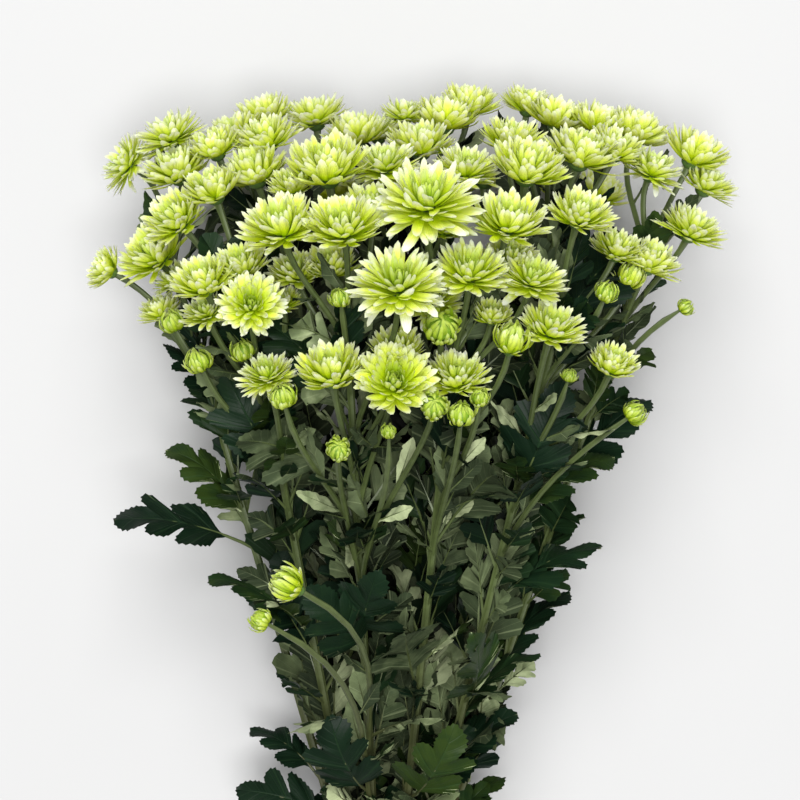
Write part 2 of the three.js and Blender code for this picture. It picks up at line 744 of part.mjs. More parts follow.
function buildBunch() {
  const bunch = new THREE.Group();
  const blooms = [];
  Object.entries(HEADS).forEach(([row, solids]) => {
    solids.forEach((heads, i) => {
      const name = `bloom_${row}_${String(i + 1).padStart(2, '0')}`;
      for (const item of heads) blooms.push({ ...item, row, solid: name, number: blooms.length });
    });
  });
  const grown = [
    ...BUDS.map((item) => ({ ...item, row: 'bud' })),
    ...SIDE_HEADS.map((item) => ({ ...item, row: 'side' })),
  ].map((item, i) => ({ ...item, grown: true, solid: `grown_${i}`, number: blooms.length + i }));
  const carried = [...blooms, ...grown];
  for (const item of carried) item.stem ??= nearestStem(item);

  // Green tubes first: a later one makes room for the earlier ones of the other stems.
  const tubes = STEMS.map((stem, number) => piece(number, (grow) => stalk(stem, grow)));
  for (const item of carried) tubes.push(piece(item.stem, (grow) => branch(item, grow)));
  tubes.forEach((part, i) => {
    part.body = cutClear(part.body, part.owner, tubes.slice(0, i));
  });

  const grownPieces = grown.map((item) => {
    const walls = wallsOf(item, carried);
    return piece(item.stem, (grow) => bloom(item, walls, grow));
  });
  for (const part of grownPieces) part.body = cutClear(part.body, part.owner, tubes);

  const bloomPieces = blooms.map((item) => {
    const walls = wallsOf(item, carried);
    return piece(item.solid, (grow) => bloom(item, walls, grow));
  });
  const names = [...new Set(blooms.map((item) => item.solid))];
  for (const name of names) {
    const parts = bloomPieces.filter((part) => part.owner === name);
    const whole = cutClear(join(parts.map((part) => part.body)), name, [...tubes, ...grownPieces]);
    const form = blooms.find((item) => item.solid === name).form;
    bunch.add(meshOf(name, largest(whole), material(BLOOM_COLOURS[form], 0.55)));
  }

  const shown = SHOWN_LEAVES.map((leaf) => ({ ...leaf, rib: shownRib(leaf), cup: 0.12 }));
  const leafPieces = [];
  for (const leaf of [...shown, ...tierLeaves(shown)]) {
    const part = piece(leaf.stem, (grow) => leafBlade(leaf, grow));
    part.body = cutClear(part.body, part.owner, [...tubes, ...grownPieces, ...bloomPieces]);
    part.body = cutClear(part.body, part.owner, leafPieces);
    leafPieces.push(part);
  }

  const green = material('#3c5a30', 0.5);
  STEMS.forEach((stem, number) => {
    const parts = [...tubes, ...grownPieces, ...leafPieces].filter((part) => part.owner === number);
    bunch.add(meshOf(stem.name, largest(join(parts.map((part) => part.body))), green));
  });
  bunch.add(rubberBand());
  return bunch;
}

/** Moves the bunch so that its origin is the middle of its underside. */
function centred(bunch) {
  bunch.updateMatrixWorld(true);
  const box = new THREE.Box3().setFromObject(bunch, true);
  const middle = box.getCenter(vec(0, 0, 0));
  bunch.position.set(-middle.x, -middle.y, -box.min.z);
  return bunch;
}

const group = centred(buildBunch());

export default group;
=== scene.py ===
"""Tied bunch of lime-green spray chrysanthemums, lying on its back on a pale floor.

Petals, leaves, stalks and buds grow from the same layout as the solids of the frame, and each
piece replaces the solid that it refines. Layout values are in millimetres, with the bunch's
stems along Y; a piece's mesh is moved into the frame, in metres, when it is made.
"""

import logging
import math
from dataclasses import dataclass, field
from enum import Enum, IntEnum

import bpy
import numpy as np
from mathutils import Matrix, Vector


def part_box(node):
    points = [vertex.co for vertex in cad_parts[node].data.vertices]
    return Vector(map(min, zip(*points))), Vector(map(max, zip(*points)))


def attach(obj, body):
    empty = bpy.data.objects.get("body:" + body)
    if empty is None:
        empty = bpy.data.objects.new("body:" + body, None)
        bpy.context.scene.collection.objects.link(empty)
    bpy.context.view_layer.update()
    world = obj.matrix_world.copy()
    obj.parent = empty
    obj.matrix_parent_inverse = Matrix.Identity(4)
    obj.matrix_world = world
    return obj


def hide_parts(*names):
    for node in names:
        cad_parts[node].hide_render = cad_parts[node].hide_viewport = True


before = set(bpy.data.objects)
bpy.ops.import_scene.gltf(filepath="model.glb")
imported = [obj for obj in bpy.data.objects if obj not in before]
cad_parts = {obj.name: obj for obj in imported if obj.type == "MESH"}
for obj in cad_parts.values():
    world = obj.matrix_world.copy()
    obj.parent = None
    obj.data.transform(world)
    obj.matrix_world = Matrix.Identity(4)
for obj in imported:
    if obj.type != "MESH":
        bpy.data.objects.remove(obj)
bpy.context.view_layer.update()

logging.basicConfig(level=logging.INFO, format="%(levelname)s %(message)s")
log = logging.getLogger("bunch")

BODY = "root"
MM = 0.001

# ---- driving dimensions, as in the solids ----------------------------------

TILT = math.radians(12)  # of the middle line, up from the floor
CUT_Y = -500.0  # levels along the stems: their cut ends,
TIE_Y = -385.0  # the middle of the tie,
TIE_HALF = 5.0  # half of the stretch in which the tie holds them straight,
CROWN_Y = 150.0  # and the crown, where the fan's width and depth are given
TIE_X = -8.0  # the middle line lies here across at the tie,
CROWN_X = 5.0  # here at the crown,
CUT_AXIS_Z = 17.4  # and this high at the cut
CROWN_HALF_WIDTH = 178.0
CROWN_HALF_DEPTH = 132.0
STEM_R = 3.25
STEM_TIP_R = 2.2
INNER_RING_R = 4.2  # the tie packs three stems on this radius,
OUTER_RING_R = 11.8  # and nine round them
CUT_SPREAD = 1.25  # how much wider than in the tie the stems stand at the cut
BRANCH_R = 1.9
CUP_R = 0.27  # of a head's radius
BAND_R = 15.5
BAND_WIDTH = 6.0
GAP = 0.3  # between a head's solid and its branch
LEAF_CLEAR = 1.2  # a leaf's midrib and blade stay this high above the floor
PETIOLE = 0.24  # share of a leaf's length that is its stalk
LEAF_HEART = 0.6  # share of a leaf's length at the middle of its blade
BRANCH_DROP = 22.0  # a branch leaves its stem this far below its head's foot,
BRANCH_SLOPE = 1.15  # and lower by this much for each millimetre across,
BRANCH_TOP = 3.0  # but not nearer to the stem's top than this,
BRANCH_TURN = 0.35  # and turned by this share of the way from the stem to the head
BRANCH_BEND = (0.33, 0.36)  # handles of its curve, as shares of the way
LOOK_OUT = 0.5  # how much the outermost heads look outwards
LOOK_UP = 0.16  # how much the heads at the level height look up from the bunch's length,
LOOK_FRONT = 0.5  # and how much more the front ones do
LEVEL_Z = 110.0  # that level height,
FRONT_RISE = 180.0  # and how much higher the front ones are

# Numbers seed the draws of heads and leaves. Heads with solids of their own start at 0.
FIRST_BUD = 200
FIRST_SIDE_HEAD = 240
FIRST_SHOWN = 300
FIRST_INNER = 400
FIRST_BRANCH = 900
FIRST_NEAR_HEAD = 1400
FIRST_FRONT = 2000


# ---- vectors and draws -----------------------------------------------------

Vec = np.ndarray
Span = tuple[float, float]
Stop = tuple[float, str]  # a place on a colour ramp, and its sRGB hex colour


def vec(x: float, y: float, z: float) -> Vec:
    """A point or direction."""
    return np.array((x, y, z), dtype=float)


def mix(a: float, b: float, t: float) -> float:
    """The value a share t of the way from a to b."""
    return a + (b - a) * t


def unit(v: Vec) -> Vec:
    """The vector, or each row of vectors, at length 1."""
    return v / np.linalg.norm(v, axis=-1, keepdims=True)


def square_to(direction: Vec, reference: Vec) -> Vec:
    """A unit vector square to a direction, as near as can be to a reference."""
    return unit(reference - direction * float(direction @ reference))


class Trait(IntEnum):
    """What a draw is for; each trait has its own series of draws."""

    FOOT = 1
    TURN = 2
    PLACE = 3
    LENGTH = 4
    LEAN = 5
    CURL = 6
    CUP = 7
    ROLL = 8
    SIDE = 9
    AGE = 11


def draw(number: int, trait: Trait) -> float:
    """A repeatable draw between 0 and 1.

    Args:
        number: Number of the leaf or head.
        trait: What the draw is for.

    Returns:
        The fraction of a fast wave, whose constants only have to be far from round.
    """
    wave = math.sin(number * 127.1 + trait * 311.7 + 74.7) * 43758.5453
    return wave - math.floor(wave)


def pick(span: Span, number: int, trait: Trait) -> float:
    """A repeatable draw between the two ends of a span."""
    return mix(*span, draw(number, trait))


@dataclass(frozen=True)
class Bezier:
    """A cubic curve through space."""

    a: Vec
    b: Vec
    c: Vec
    d: Vec

    def point(self, t: np.ndarray) -> Vec:
        """Points on the curve.

        Args:
            t: Parameters from 0 to 1, in any shape.

        Returns:
            Points, with one more axis than t.
        """
        t = np.asarray(t, dtype=float)[..., None]
        s = 1 - t
        return s**3 * self.a + 3 * s * s * t * self.b + 3 * s * t * t * self.c + t**3 * self.d

    def tangent(self, t: np.ndarray) -> Vec:
        """Directions of the curve.

        Args:
            t: Parameters from 0 to 1, in any shape.

        Returns:
            Unit tangents, with one more axis than t.
        """
        t = np.asarray(t, dtype=float)[..., None]
        s = 1 - t
        first, second, third = self.b - self.a, self.c - self.b, self.d - self.c
        return unit(s * s * first + 2 * s * t * second + t * t * third)

    def length(self) -> float:
        """Arc length."""
        points = self.point(np.linspace(0, 1, 201))
        return float(np.linalg.norm(np.diff(points, axis=0), axis=1).sum())


# ---- stems, heads and buds -------------------------------------------------


class Form(Enum):
    """How far a flower head has opened, with the height of its core as a share of its radius."""

    OPEN = 0.5
    HALF = 0.55
    BUD = 0.8


@dataclass(frozen=True)
class Stem:
    """A cut stem: its place in the tie, where it points to at the crown, and its top level."""

    name: str
    ring: float
    angle: float
    x: float
    z: float
    top: float


@dataclass(frozen=True)
class Head:
    """A flower head or bud: the centre of its core, its width, and where it looks.

    Most heads state no direction and no stem: they look up the bunch, and grow on the stem that
    passes them most closely.
    """

    x: float
    y: float
    z: float
    width: float
    form: Form = Form.OPEN
    faces: tuple[float, float, float] | None = None
    stem: int | None = None

    @property
    def radius(self) -> float:
        """Half its width."""
        return self.width / 2

    @property
    def core(self) -> Vec:
        """The centre of its core."""
        return vec(self.x, self.y, self.z)

    @property
    def axis(self) -> Vec:
        """Where it looks: up the bunch, a little outwards, and towards the viewer in front.

        Returns:
            The direction.
        """
        if self.faces:
            return unit(vec(*self.faces))
        outwards = LOOK_OUT * (self.x - CROWN_X) / CROWN_HALF_WIDTH
        return unit(vec(outwards, 1, LOOK_UP + LOOK_FRONT * (self.z - LEVEL_Z) / FRONT_RISE))

    @property
    def base(self) -> Vec:
        """The lowest point of its axis, where the cup holds it."""
        return self.core - self.axis * self.form.value * self.radius

    def sides(self) -> tuple[Vec, Vec]:
        """Two unit vectors square to its axis and to each other."""
        right = square_to(self.axis, vec(1, 0.3, 0.2))
        return right, np.cross(self.axis, right)


LEFT = (-0.85, 0.45, 0.25)
UPPER_LEFT = (-0.55, 0.65, 0.5)
VIEWER = (0.05, 0.45, 0.9)

STEMS = (
    Stem("stem_right", OUTER_RING_R, 0, 180, 150, 95),
    Stem("stem_front_right", OUTER_RING_R, 40, 125, 232, 35),
    Stem("stem_front_mid_right", OUTER_RING_R, 80, 45, 272, 30),
    Stem("stem_front_mid_left", OUTER_RING_R, 120, -38, 272, 30),
    Stem("stem_front_left", OUTER_RING_R, 160, -112, 235, 35),
    Stem("stem_left", OUTER_RING_R, 200, -168, 150, 85),
    Stem("stem_back_left", OUTER_RING_R, 240, -100, 66, 105),
    Stem("stem_back_mid", OUTER_RING_R, 280, 2, 58, 105),
    Stem("stem_back_right", OUTER_RING_R, 320, 108, 66, 105),
    Stem("stem_inner_mid", INNER_RING_R, 60, 22, 180, 85),
    Stem("stem_inner_left", INNER_RING_R, 180, -78, 172, 85),
    Stem("stem_inner_right", INNER_RING_R, 300, 104, 165, 85),
)

HEADS = {
    "back": (
        (Head(-112, 182, 110, 40), Head(-93, 196, 92, 42)),
        (Head(-58, 196, 90, 43),),
        (Head(-30, 181, 118, 43), Head(-15, 184, 100, 36), Head(3, 196, 100, 33)),
        (Head(14, 172, 150, 45),),
        (Head(31, 193, 102, 46), Head(47, 203, 88, 42)),
        (Head(88, 204, 82, 37), Head(108, 193, 100, 44)),
        (Head(134, 188, 112, 42), Head(160, 183, 112, 46)),
        (Head(198, 167, 128, 46), Head(206, 147, 122, 39)),
        (Head(192, 115, 170, 42),),
        (Head(74, 173, 164, 43),),
    ),
    "middle": (
        (Head(-187, 160, 120, 38, Form.OPEN, LEFT),),
        (Head(-154, 180, 134, 43), Head(-148, 155, 152, 46), Head(-122, 168, 160, 38)),
        (Head(-121, 138, 202, 42), Head(-146, 119, 198, 44, Form.OPEN, UPPER_LEFT)),
        (Head(-95, 151, 186, 46), Head(-88, 174, 166, 42)),
        (Head(-163, 98, 166, 48, Form.OPEN, UPPER_LEFT),),
        (Head(-195, 87, 150, 31, Form.OPEN, LEFT),),
        (Head(-47, 152, 220, 56), Head(-69, 139, 215, 32)),
        (Head(-10, 155, 200, 42),),
        (Head(43, 152, 202, 42),),
        (Head(82, 151, 220, 50),),
        (Head(119, 164, 178, 50), Head(142, 167, 162, 40), Head(167, 155, 156, 40)),
    ),
    "front": (
        (Head(-74, 111, 280, 50),),
        (Head(-35, 110, 290, 48),),
        (Head(17, 128, 288, 60),),
        (Head(68, 114, 270, 48),),
        (Head(114, 120, 238, 42),),
        (Head(-124, 77, 250, 42), Head(-101, 87, 238, 38)),
        (Head(-92, 61, 268, 38, Form.OPEN, VIEWER),),
        (Head(-1, 76, 302, 52),),
        (Head(44, 83, 280, 45),),
        (Head(83, 79, 258, 40), Head(70, 92, 240, 36)),
        (Head(95, 48, 260, 40),),
        (Head(141, 100, 192, 36), Head(163, 93, 180, 40)),
        (Head(-18, 124, 238, 40),),
        (Head(20, 66, 250, 38),),
        (Head(-66, 84, 232, 36), Head(-44, 87, 238, 36)),
    ),
    "low": (
        (Head(-43, 21, 265, 46),),
        (Head(-3, 14, 278, 48, Form.OPEN, VIEWER), Head(-2, 34, 262, 36)),
        (Head(-84, 19, 245, 34),),
        (Head(36, 18, 250, 40),),
        (Head(69, 36, 262, 27, Form.HALF),),
        (Head(136, 25, 220, 35),),
        (Head(-68, -116, 252, 26, Form.HALF, LEFT),),
    ),
    "under": (
        (Head(-128, 152, 36, 40), Head(-106, 160, 19.6, 42)),
        (Head(-50, 150, 19.4, 42), Head(-24, 158, 26, 42)),
        (Head(34, 152, 19.4, 42), Head(60, 160, 28, 42)),
        (Head(116, 152, 19.6, 42), Head(140, 147, 34, 40)),
    ),
}

SIDE_HEADS = (
    Head(28, 111, 250, 32),
    Head(-158, 61, 150, 30),
    Head(-123, 58, 235, 30),
    Head(-75, 64, 225, 26),
    Head(58, 55, 245, 27),
    Head(148, 78, 185, 22, Form.HALF),
    Head(-148, 82, 160, 30),
)
BUDS = (
    Head(21, -3, 277, 20, Form.BUD, VIEWER, 3),
    Head(38, -8, 265, 19, Form.BUD),
    Head(50, 2, 256, 14, Form.BUD),
    Head(-7, -19, 272, 11, Form.BUD),
    Head(-38, -30, 270, 17, Form.BUD, VIEWER),
    Head(-73, 3, 262, 19, Form.BUD),
    Head(-128, 26, 216, 20, Form.BUD),
    Head(-147, 51, 190, 18, Form.BUD),
    Head(-100, 32, 224, 17, Form.BUD),
    Head(-37, 64, 268, 15, Form.BUD),
    Head(26, 46, 270, 25, Form.BUD, VIEWER),
    Head(107, 16, 230, 11, Form.BUD),
    Head(151, -8, 200, 17, Form.BUD, (0.8, 0.55, 0.2)),
    Head(187, 61, 160, 13, Form.BUD, (0.85, 0.5, 0.1)),
    Head(131, 69, 222, 16, Form.BUD),
    Head(-88, -137, 250, 16, Form.BUD, LEFT),
)


# ---- the layout of the bunch -----------------------------------------------


def risen(y: float) -> float:
    """How far up from the tie to the crown a level is."""
    return (y - TIE_Y) / (CROWN_Y - TIE_Y)


def middle_line(y: float) -> Vec:
    """The bunch's middle line at level y."""
    return vec(mix(TIE_X, CROWN_X, risen(y)), y, CUT_AXIS_Z + (y - CUT_Y) * math.tan(TILT))


def stem_point(stem: Stem, y: float) -> Vec:
    """The centre line of a stem: packed in the tie, and fanned out above it.

    Args:
        stem: The stem.
        y: A level.

    Returns:
        The point at that level.
    """
    angle = math.radians(stem.angle)
    packed = vec(math.cos(angle), 0, math.sin(angle)) * stem.ring
    below = TIE_Y - TIE_HALF - y
    above = y - TIE_Y - TIE_HALF
    if below > 0:
        packed = packed * mix(1, CUT_SPREAD, below / (TIE_Y - TIE_HALF - CUT_Y))
    if above > 0:
        crown = middle_line(CROWN_Y)
        fanned = vec(stem.x - crown[0], 0, stem.z - crown[2])
        packed = packed + (fanned - packed) * (above / (CROWN_Y - TIE_Y - TIE_HALF))
    return middle_line(y) + packed


def stem_direction(stem: Stem, y: float) -> Vec:
    """The way a stem runs at level y."""
    return unit(stem_point(stem, y + 1) - stem_point(stem, y))


def stem_beside(x: float, y: float, z: float) -> int:
    """The number of the stem that passes a point most closely.

    Args:
        x: The point, across.
        y: Its level.
        z: Its height.

    Returns:
        The stem's number.
    """
    lines = [stem_point(stem, y) for stem in STEMS]
    return int(np.argmin([math.hypot(line[0] - x, line[2] - z) for line in lines]))


def stem_of(head: Head) -> int:
    """The number of the stem that carries a head: its own, or the nearest along the bunch."""
    return stem_beside(head.x, head.y, head.z) if head.stem is None else head.stem


def angle_of(point: Vec) -> float:
    """The direction of a point from the middle line, in the squashed round of the bunch.

    Args:
        point: The point.

    Returns:
        The angle, in radians.
    """
    middle = middle_line(float(point[1]))
    across = (point[0] - middle[0]) / CROWN_HALF_WIDTH
    return math.atan2((point[2] - middle[2]) / CROWN_HALF_DEPTH, across)


def stem_at(angle: float) -> int:
    """The outer stem that stands nearest to a direction from the middle line.

    Args:
        angle: The direction, in the squashed round of the bunch.

    Returns:
        The stem's number.
    """
    outer = [i for i, stem in enumerate(STEMS) if stem.ring == OUTER_RING_R]
    closeness = [math.cos(angle_of(vec(STEMS[i].x, CROWN_Y, STEMS[i].z)) - angle) for i in outer]
    return outer[int(np.argmax(closeness))]


def branch_line(head: Head, stem: Stem) -> Bezier:
    """The line of a side branch, which leaves its stem low and bends up into the head's axis.

    Args:
        head: The head that it carries.
        stem: The stem that it grows on.

    Returns:
        The line, from inside the stalk to the foot of the head.
    """
    axis = head.axis
    foot = head.core - axis * (head.form.value * head.radius + GAP)
    beside = stem_point(stem, float(foot[1]))
    lateral = math.hypot(beside[0] - foot[0], beside[2] - foot[2])
    low = float(foot[1]) - BRANCH_DROP - BRANCH_SLOPE * lateral
    start = stem_point(stem, min(stem.top - BRANCH_TOP, low))
    reach = float(np.linalg.norm(foot - start))
    leave = stem_direction(stem, float(start[1]))
    leave = unit(leave + (unit(foot - start) - leave) * BRANCH_TURN)
    leaving, arriving = BRANCH_BEND
    return Bezier(start, start + leave * reach * leaving, foot - axis * reach * arriving, foot)


# ---- leaves ----------------------------------------------------------------


class Cut(Enum):
    """The cut of a leaf's blade: finely or plainly lobed, or a narrow lance."""

    FINE = 0
    PLAIN = 1
    LANCE = 2


@dataclass(frozen=True)
class Leaf:
    """A leaf of the bunch: its stem, its midrib, where its upper face looks, and its cupping."""

    stem: int
    rib: Bezier
    faces: Vec
    cup: float
    number: int
    cut: Cut = Cut.FINE


@dataclass(frozen=True)
class ShownLeaf:
    """A leaf that is placed by its tip: stem number, level of its foot, tip and upper face."""

    stem: int
    y: float
    tip: tuple[float, float, float]
    faces: tuple[float, float, float]
    bow: float = 0.25

    def leaf(self, number: int) -> Leaf:
        """Grows the leaf, which bows towards its upper face on the way to its tip.

        Args:
            number: The leaf's number, which seeds its draws.

        Returns:
            The leaf.
        """
        start = stem_point(STEMS[self.stem], self.y)
        tip = vec(*self.tip)
        run = tip - start
        reach = float(np.linalg.norm(run))
        bow = square_to(unit(run), vec(*self.faces)) * self.bow * reach
        rib = Bezier(start, start + run * 0.3 + bow * 0.7, start + run * 0.7 + bow, tip)
        return Leaf(self.stem, rib, vec(*self.faces), 0.12, number)


SHOWN_LEAVES = (
    ShownLeaf(5, -10, (-157, 36, 130), (0.75, 0.41, 0.52)),
    ShownLeaf(5, -56, (-144, 11, 66), (0.61, 0.61, 0.5)),
    ShownLeaf(5, -96, (-158, -34, 98), (0.64, 0.61, 0.47)),
    ShownLeaf(5, -100, (-190, -80, 128), (0.34, 0.77, 0.53), 0.14),
    ShownLeaf(4, -166, (-127, -119, 132), (0.53, 0.71, 0.47)),
    ShownLeaf(5, -264, (-103, -227, 56), (0.39, 0.66, 0.64)),
    ShownLeaf(4, -286, (-111, -266, 74), (0.08, 0.57, 0.82), 0.16),
    ShownLeaf(0, -66, (168, 0, 114), (-0.56, 0.43, 0.7)),
    ShownLeaf(1, -86, (141, -38, 150), (-0.49, 0.74, 0.47), 0.2),
    ShownLeaf(0, -142, (125, -79, 88), (-0.71, 0.5, 0.5)),
    ShownLeaf(1, -144, (134, -99, 120), (-0.37, 0.77, 0.53), 0.22),
    ShownLeaf(0, -205, (116, -132, 74), (-0.71, 0.55, 0.44)),
    ShownLeaf(1, -232, (94, -170, 108), (-0.71, 0.64, 0.29)),
    ShownLeaf(1, -280, (79, -211, 104), (-0.76, 0.47, 0.46)),
    ShownLeaf(0, -326, (72, -259, 58), (-0.67, 0.47, 0.57)),
    ShownLeaf(2, -96, (60, -47, 238), (0.15, 0.5, -0.9)),
    ShownLeaf(3, -56, (-101, -26, 226), (-0.1, 0.5, -0.9)),
    ShownLeaf(2, -196, (4, -150, 214), (-0.2, 0.4, -0.9), 0.15),
    ShownLeaf(1, -202, (47, -150, 186), (0.2, 0.4, 0.9), 0.15),
    ShownLeaf(3, -164, (-58, -118, 214), (0.2, -0.1, 1)),
    ShownLeaf(3, -156, (-14, -108, 226), (-0.2, -0.1, 1), 0.15),
    ShownLeaf(3, -264, (-46, -206, 160), (-0.3, 0.2, 1)),
    ShownLeaf(2, -268, (36, -212, 158), (0.3, 0.2, 1)),
    ShownLeaf(1, 26, (156, 100, 152), (-0.6, 0.2, 0.8)),
    ShownLeaf(1, -62, (104, 12, 200), (0.2, 0.4, 0.9)),
    ShownLeaf(3, -8, (-92, 52, 205), (0.4, 0.3, 0.9)),
    ShownLeaf(4, -54, (-112, 18, 196), (-0.2, 0.4, 0.9)),
)


@dataclass(frozen=True)
class Tier:
    """A tier of leaves round the bunch: level of their feet, count, length and first angle."""

    y: float
    count: int
    length: float
    turn: float
    span: float = 360.0


TIERS = (
    Tier(-304, 5, 78, 52),
    Tier(-250, 6, 80, 12),
    Tier(-194, 8, 82, 40),
    Tier(-144, 9, 86, 0),
    Tier(-94, 9, 86, 22),
    Tier(-44, 9, 84, 5),
    Tier(6, 4, 74, 205, 114.0),
)


@dataclass(frozen=True)
class TierLeaves:
    """Leaves in tiers round the bunch, left out where a shown leaf already fills the place."""

    spread: float = 31.0  # a shown leaf fills this many degrees to either side,
    reach: float = 45.0  # and this far up and down
    rise: float = 0.5  # a leaf's blade has its middle this share of its length above its foot
    numbers: int = 16  # kept for each tier
    turn_play: float = 0.3
    foot_play: float = 12.0
    length: Span = (0.88, 1.08)
    lean: Span = (22, 38)
    curl: Span = (20, 55)
    roll: Span = (-28, 28)
    cup: Span = (0.05, 0.3)

    def rib(self, stem: int, angle: float, size: float, number: int, y: float) -> Bezier:
        """Midrib of a leaf, which leaves the stalk at a low angle and bends outwards.

        Args:
            stem: Number of the stem.
            angle: Direction from the middle line, in the squashed round of the bunch.
            size: The tier's length of leaf.
            number: The leaf's number, which seeds its draws.
            y: Level of the leaf's foot.

        Returns:
            The midrib.
        """
        start = stem_point(STEMS[stem], y)
        crown = middle_line(CROWN_Y)
        wide = CROWN_HALF_WIDTH * math.cos(angle)
        edge = vec(crown[0] + wide, CROWN_Y, crown[2] + CROWN_HALF_DEPTH * math.sin(angle))
        up = unit(edge - middle_line(y))
        outwards = square_to(up, vec(math.cos(angle), 0, math.sin(angle)))
        length = size * pick(self.length, number, Trait.LENGTH)
        lean = pick(self.lean, number, Trait.LEAN)
        curl = pick(self.curl, number, Trait.CURL)

        def heading(degrees: float) -> Vec:
            """The direction that leans so far outwards."""
            turn = math.radians(degrees)
            return up * math.cos(turn) + outwards * math.sin(turn)

        tip = start + heading(lean) * length
        low = start + heading(lean - 8) * length / 3
        return Bezier(start, low, tip - heading(lean + curl) * length / 3, tip)

    def grow(self, shown: list[Leaf]) -> list[Leaf]:
        """Grows the leaves of all tiers.

        Args:
            shown: The leaves that are placed by their tips.

        Returns:
            The leaves for which there is room.
        """
        hearts = [leaf.rib.point(LEAF_HEART) for leaf in shown]
        taken = [(float(heart[1]), angle_of(heart)) for heart in hearts]
        aside = math.cos(math.radians(self.spread))
        leaves = []
        for level, tier in enumerate(TIERS):
            heart_y = tier.y + self.rise * tier.length
            for i in range(tier.count):
                number = level * self.numbers + i
                play = self.turn_play * (draw(number, Trait.TURN) - 0.5)
                angle = math.radians(tier.turn + tier.span * (i + play) / tier.count)
                if any(
                    math.cos(place - angle) > aside and abs(y - heart_y) < self.reach
                    for y, place in taken
                ):
                    continue
                stem = stem_at(angle)
                foot = tier.y + self.foot_play * (draw(number, Trait.PLACE) - 0.5)
                rib = self.rib(stem, angle, tier.length, number, foot)
                looks = angle + math.radians(pick(self.roll, number, Trait.ROLL))
                faces = vec(math.cos(looks), 0.25, math.sin(looks))
                leaves.append(Leaf(stem, rib, faces, pick(self.cup, number, Trait.CUP), number))
        return leaves


@dataclass(frozen=True)
class InnerLeaves:
    """Leaves deeper in the bunch: each grows from the stem that is nearest to its own place."""

    levels: range = range(-350, 60, 17)
    count: int = 17
    reach: Span = (0.05, 0.95)
    length: Span = (52, 78)
    lean: Span = (14, 44)
    roll: Span = (-75, 75)
    cup: Span = (0.05, 0.4)
    turned: float = 0.3  # share of the leaves that show their underside

    def leaf(self, x: float, y: float, z: float, number: int) -> Leaf:
        """Grows the leaf for a place.

        Args:
            x: The place, across.
            y: The level of the place and of the leaf's foot.
            z: The height of the place.
            number: The leaf's number, which seeds its draws.

        Returns:
            The leaf.
        """
        stem = stem_beside(x, y, z)
        start = stem_point(STEMS[stem], y)
        along = stem_direction(STEMS[stem], y)
        away = square_to(along, vec(x - start[0], 0, z - start[2]))
        length = pick(self.length, number, Trait.LENGTH)
        lean = math.radians(pick(self.lean, number, Trait.LEAN))
        heading = along * math.cos(lean) + away * math.sin(lean)
        tip = start + heading * length
        drop = away * math.sin(lean) * length * 0.3
        high = tip - heading * length * 0.3 + along * length * 0.08 - drop * 0.2
        roll = math.radians(pick(self.roll, number, Trait.ROLL))
        faces = away * math.cos(roll) + np.cross(along, away) * math.sin(roll) - along * 0.2
        if draw(number, Trait.SIDE) < self.turned:
            faces = -faces
        rib = Bezier(start, start + heading * length * 0.33, high, tip)
        return Leaf(stem, rib, faces, pick(self.cup, number, Trait.CUP), number, Cut.PLAIN)

    def grow(self) -> list[Leaf]:
        """Grows the leaves of all levels.

        Returns:
            The leaves, each for a place in the squashed round of the bunch.
        """
        leaves = []
        for level, y in enumerate(self.levels):
            middle = middle_line(y)
            spread = max(0.0, risen(y))
            for i in range(self.count):
                number = FIRST_INNER + level * self.count + i
                step = i + 0.5 * (level % 2) + 0.5 * draw(number, Trait.TURN)
                angle = 2 * math.pi * step / self.count
                reach = spread * math.sqrt(pick(self.reach, number, Trait.PLACE))
                x = middle[0] + CROWN_HALF_WIDTH * reach * math.cos(angle)
                z = middle[2] + CROWN_HALF_DEPTH * reach * math.sin(angle)
                leaves.append(self.leaf(x, y, z, number))
        return leaves


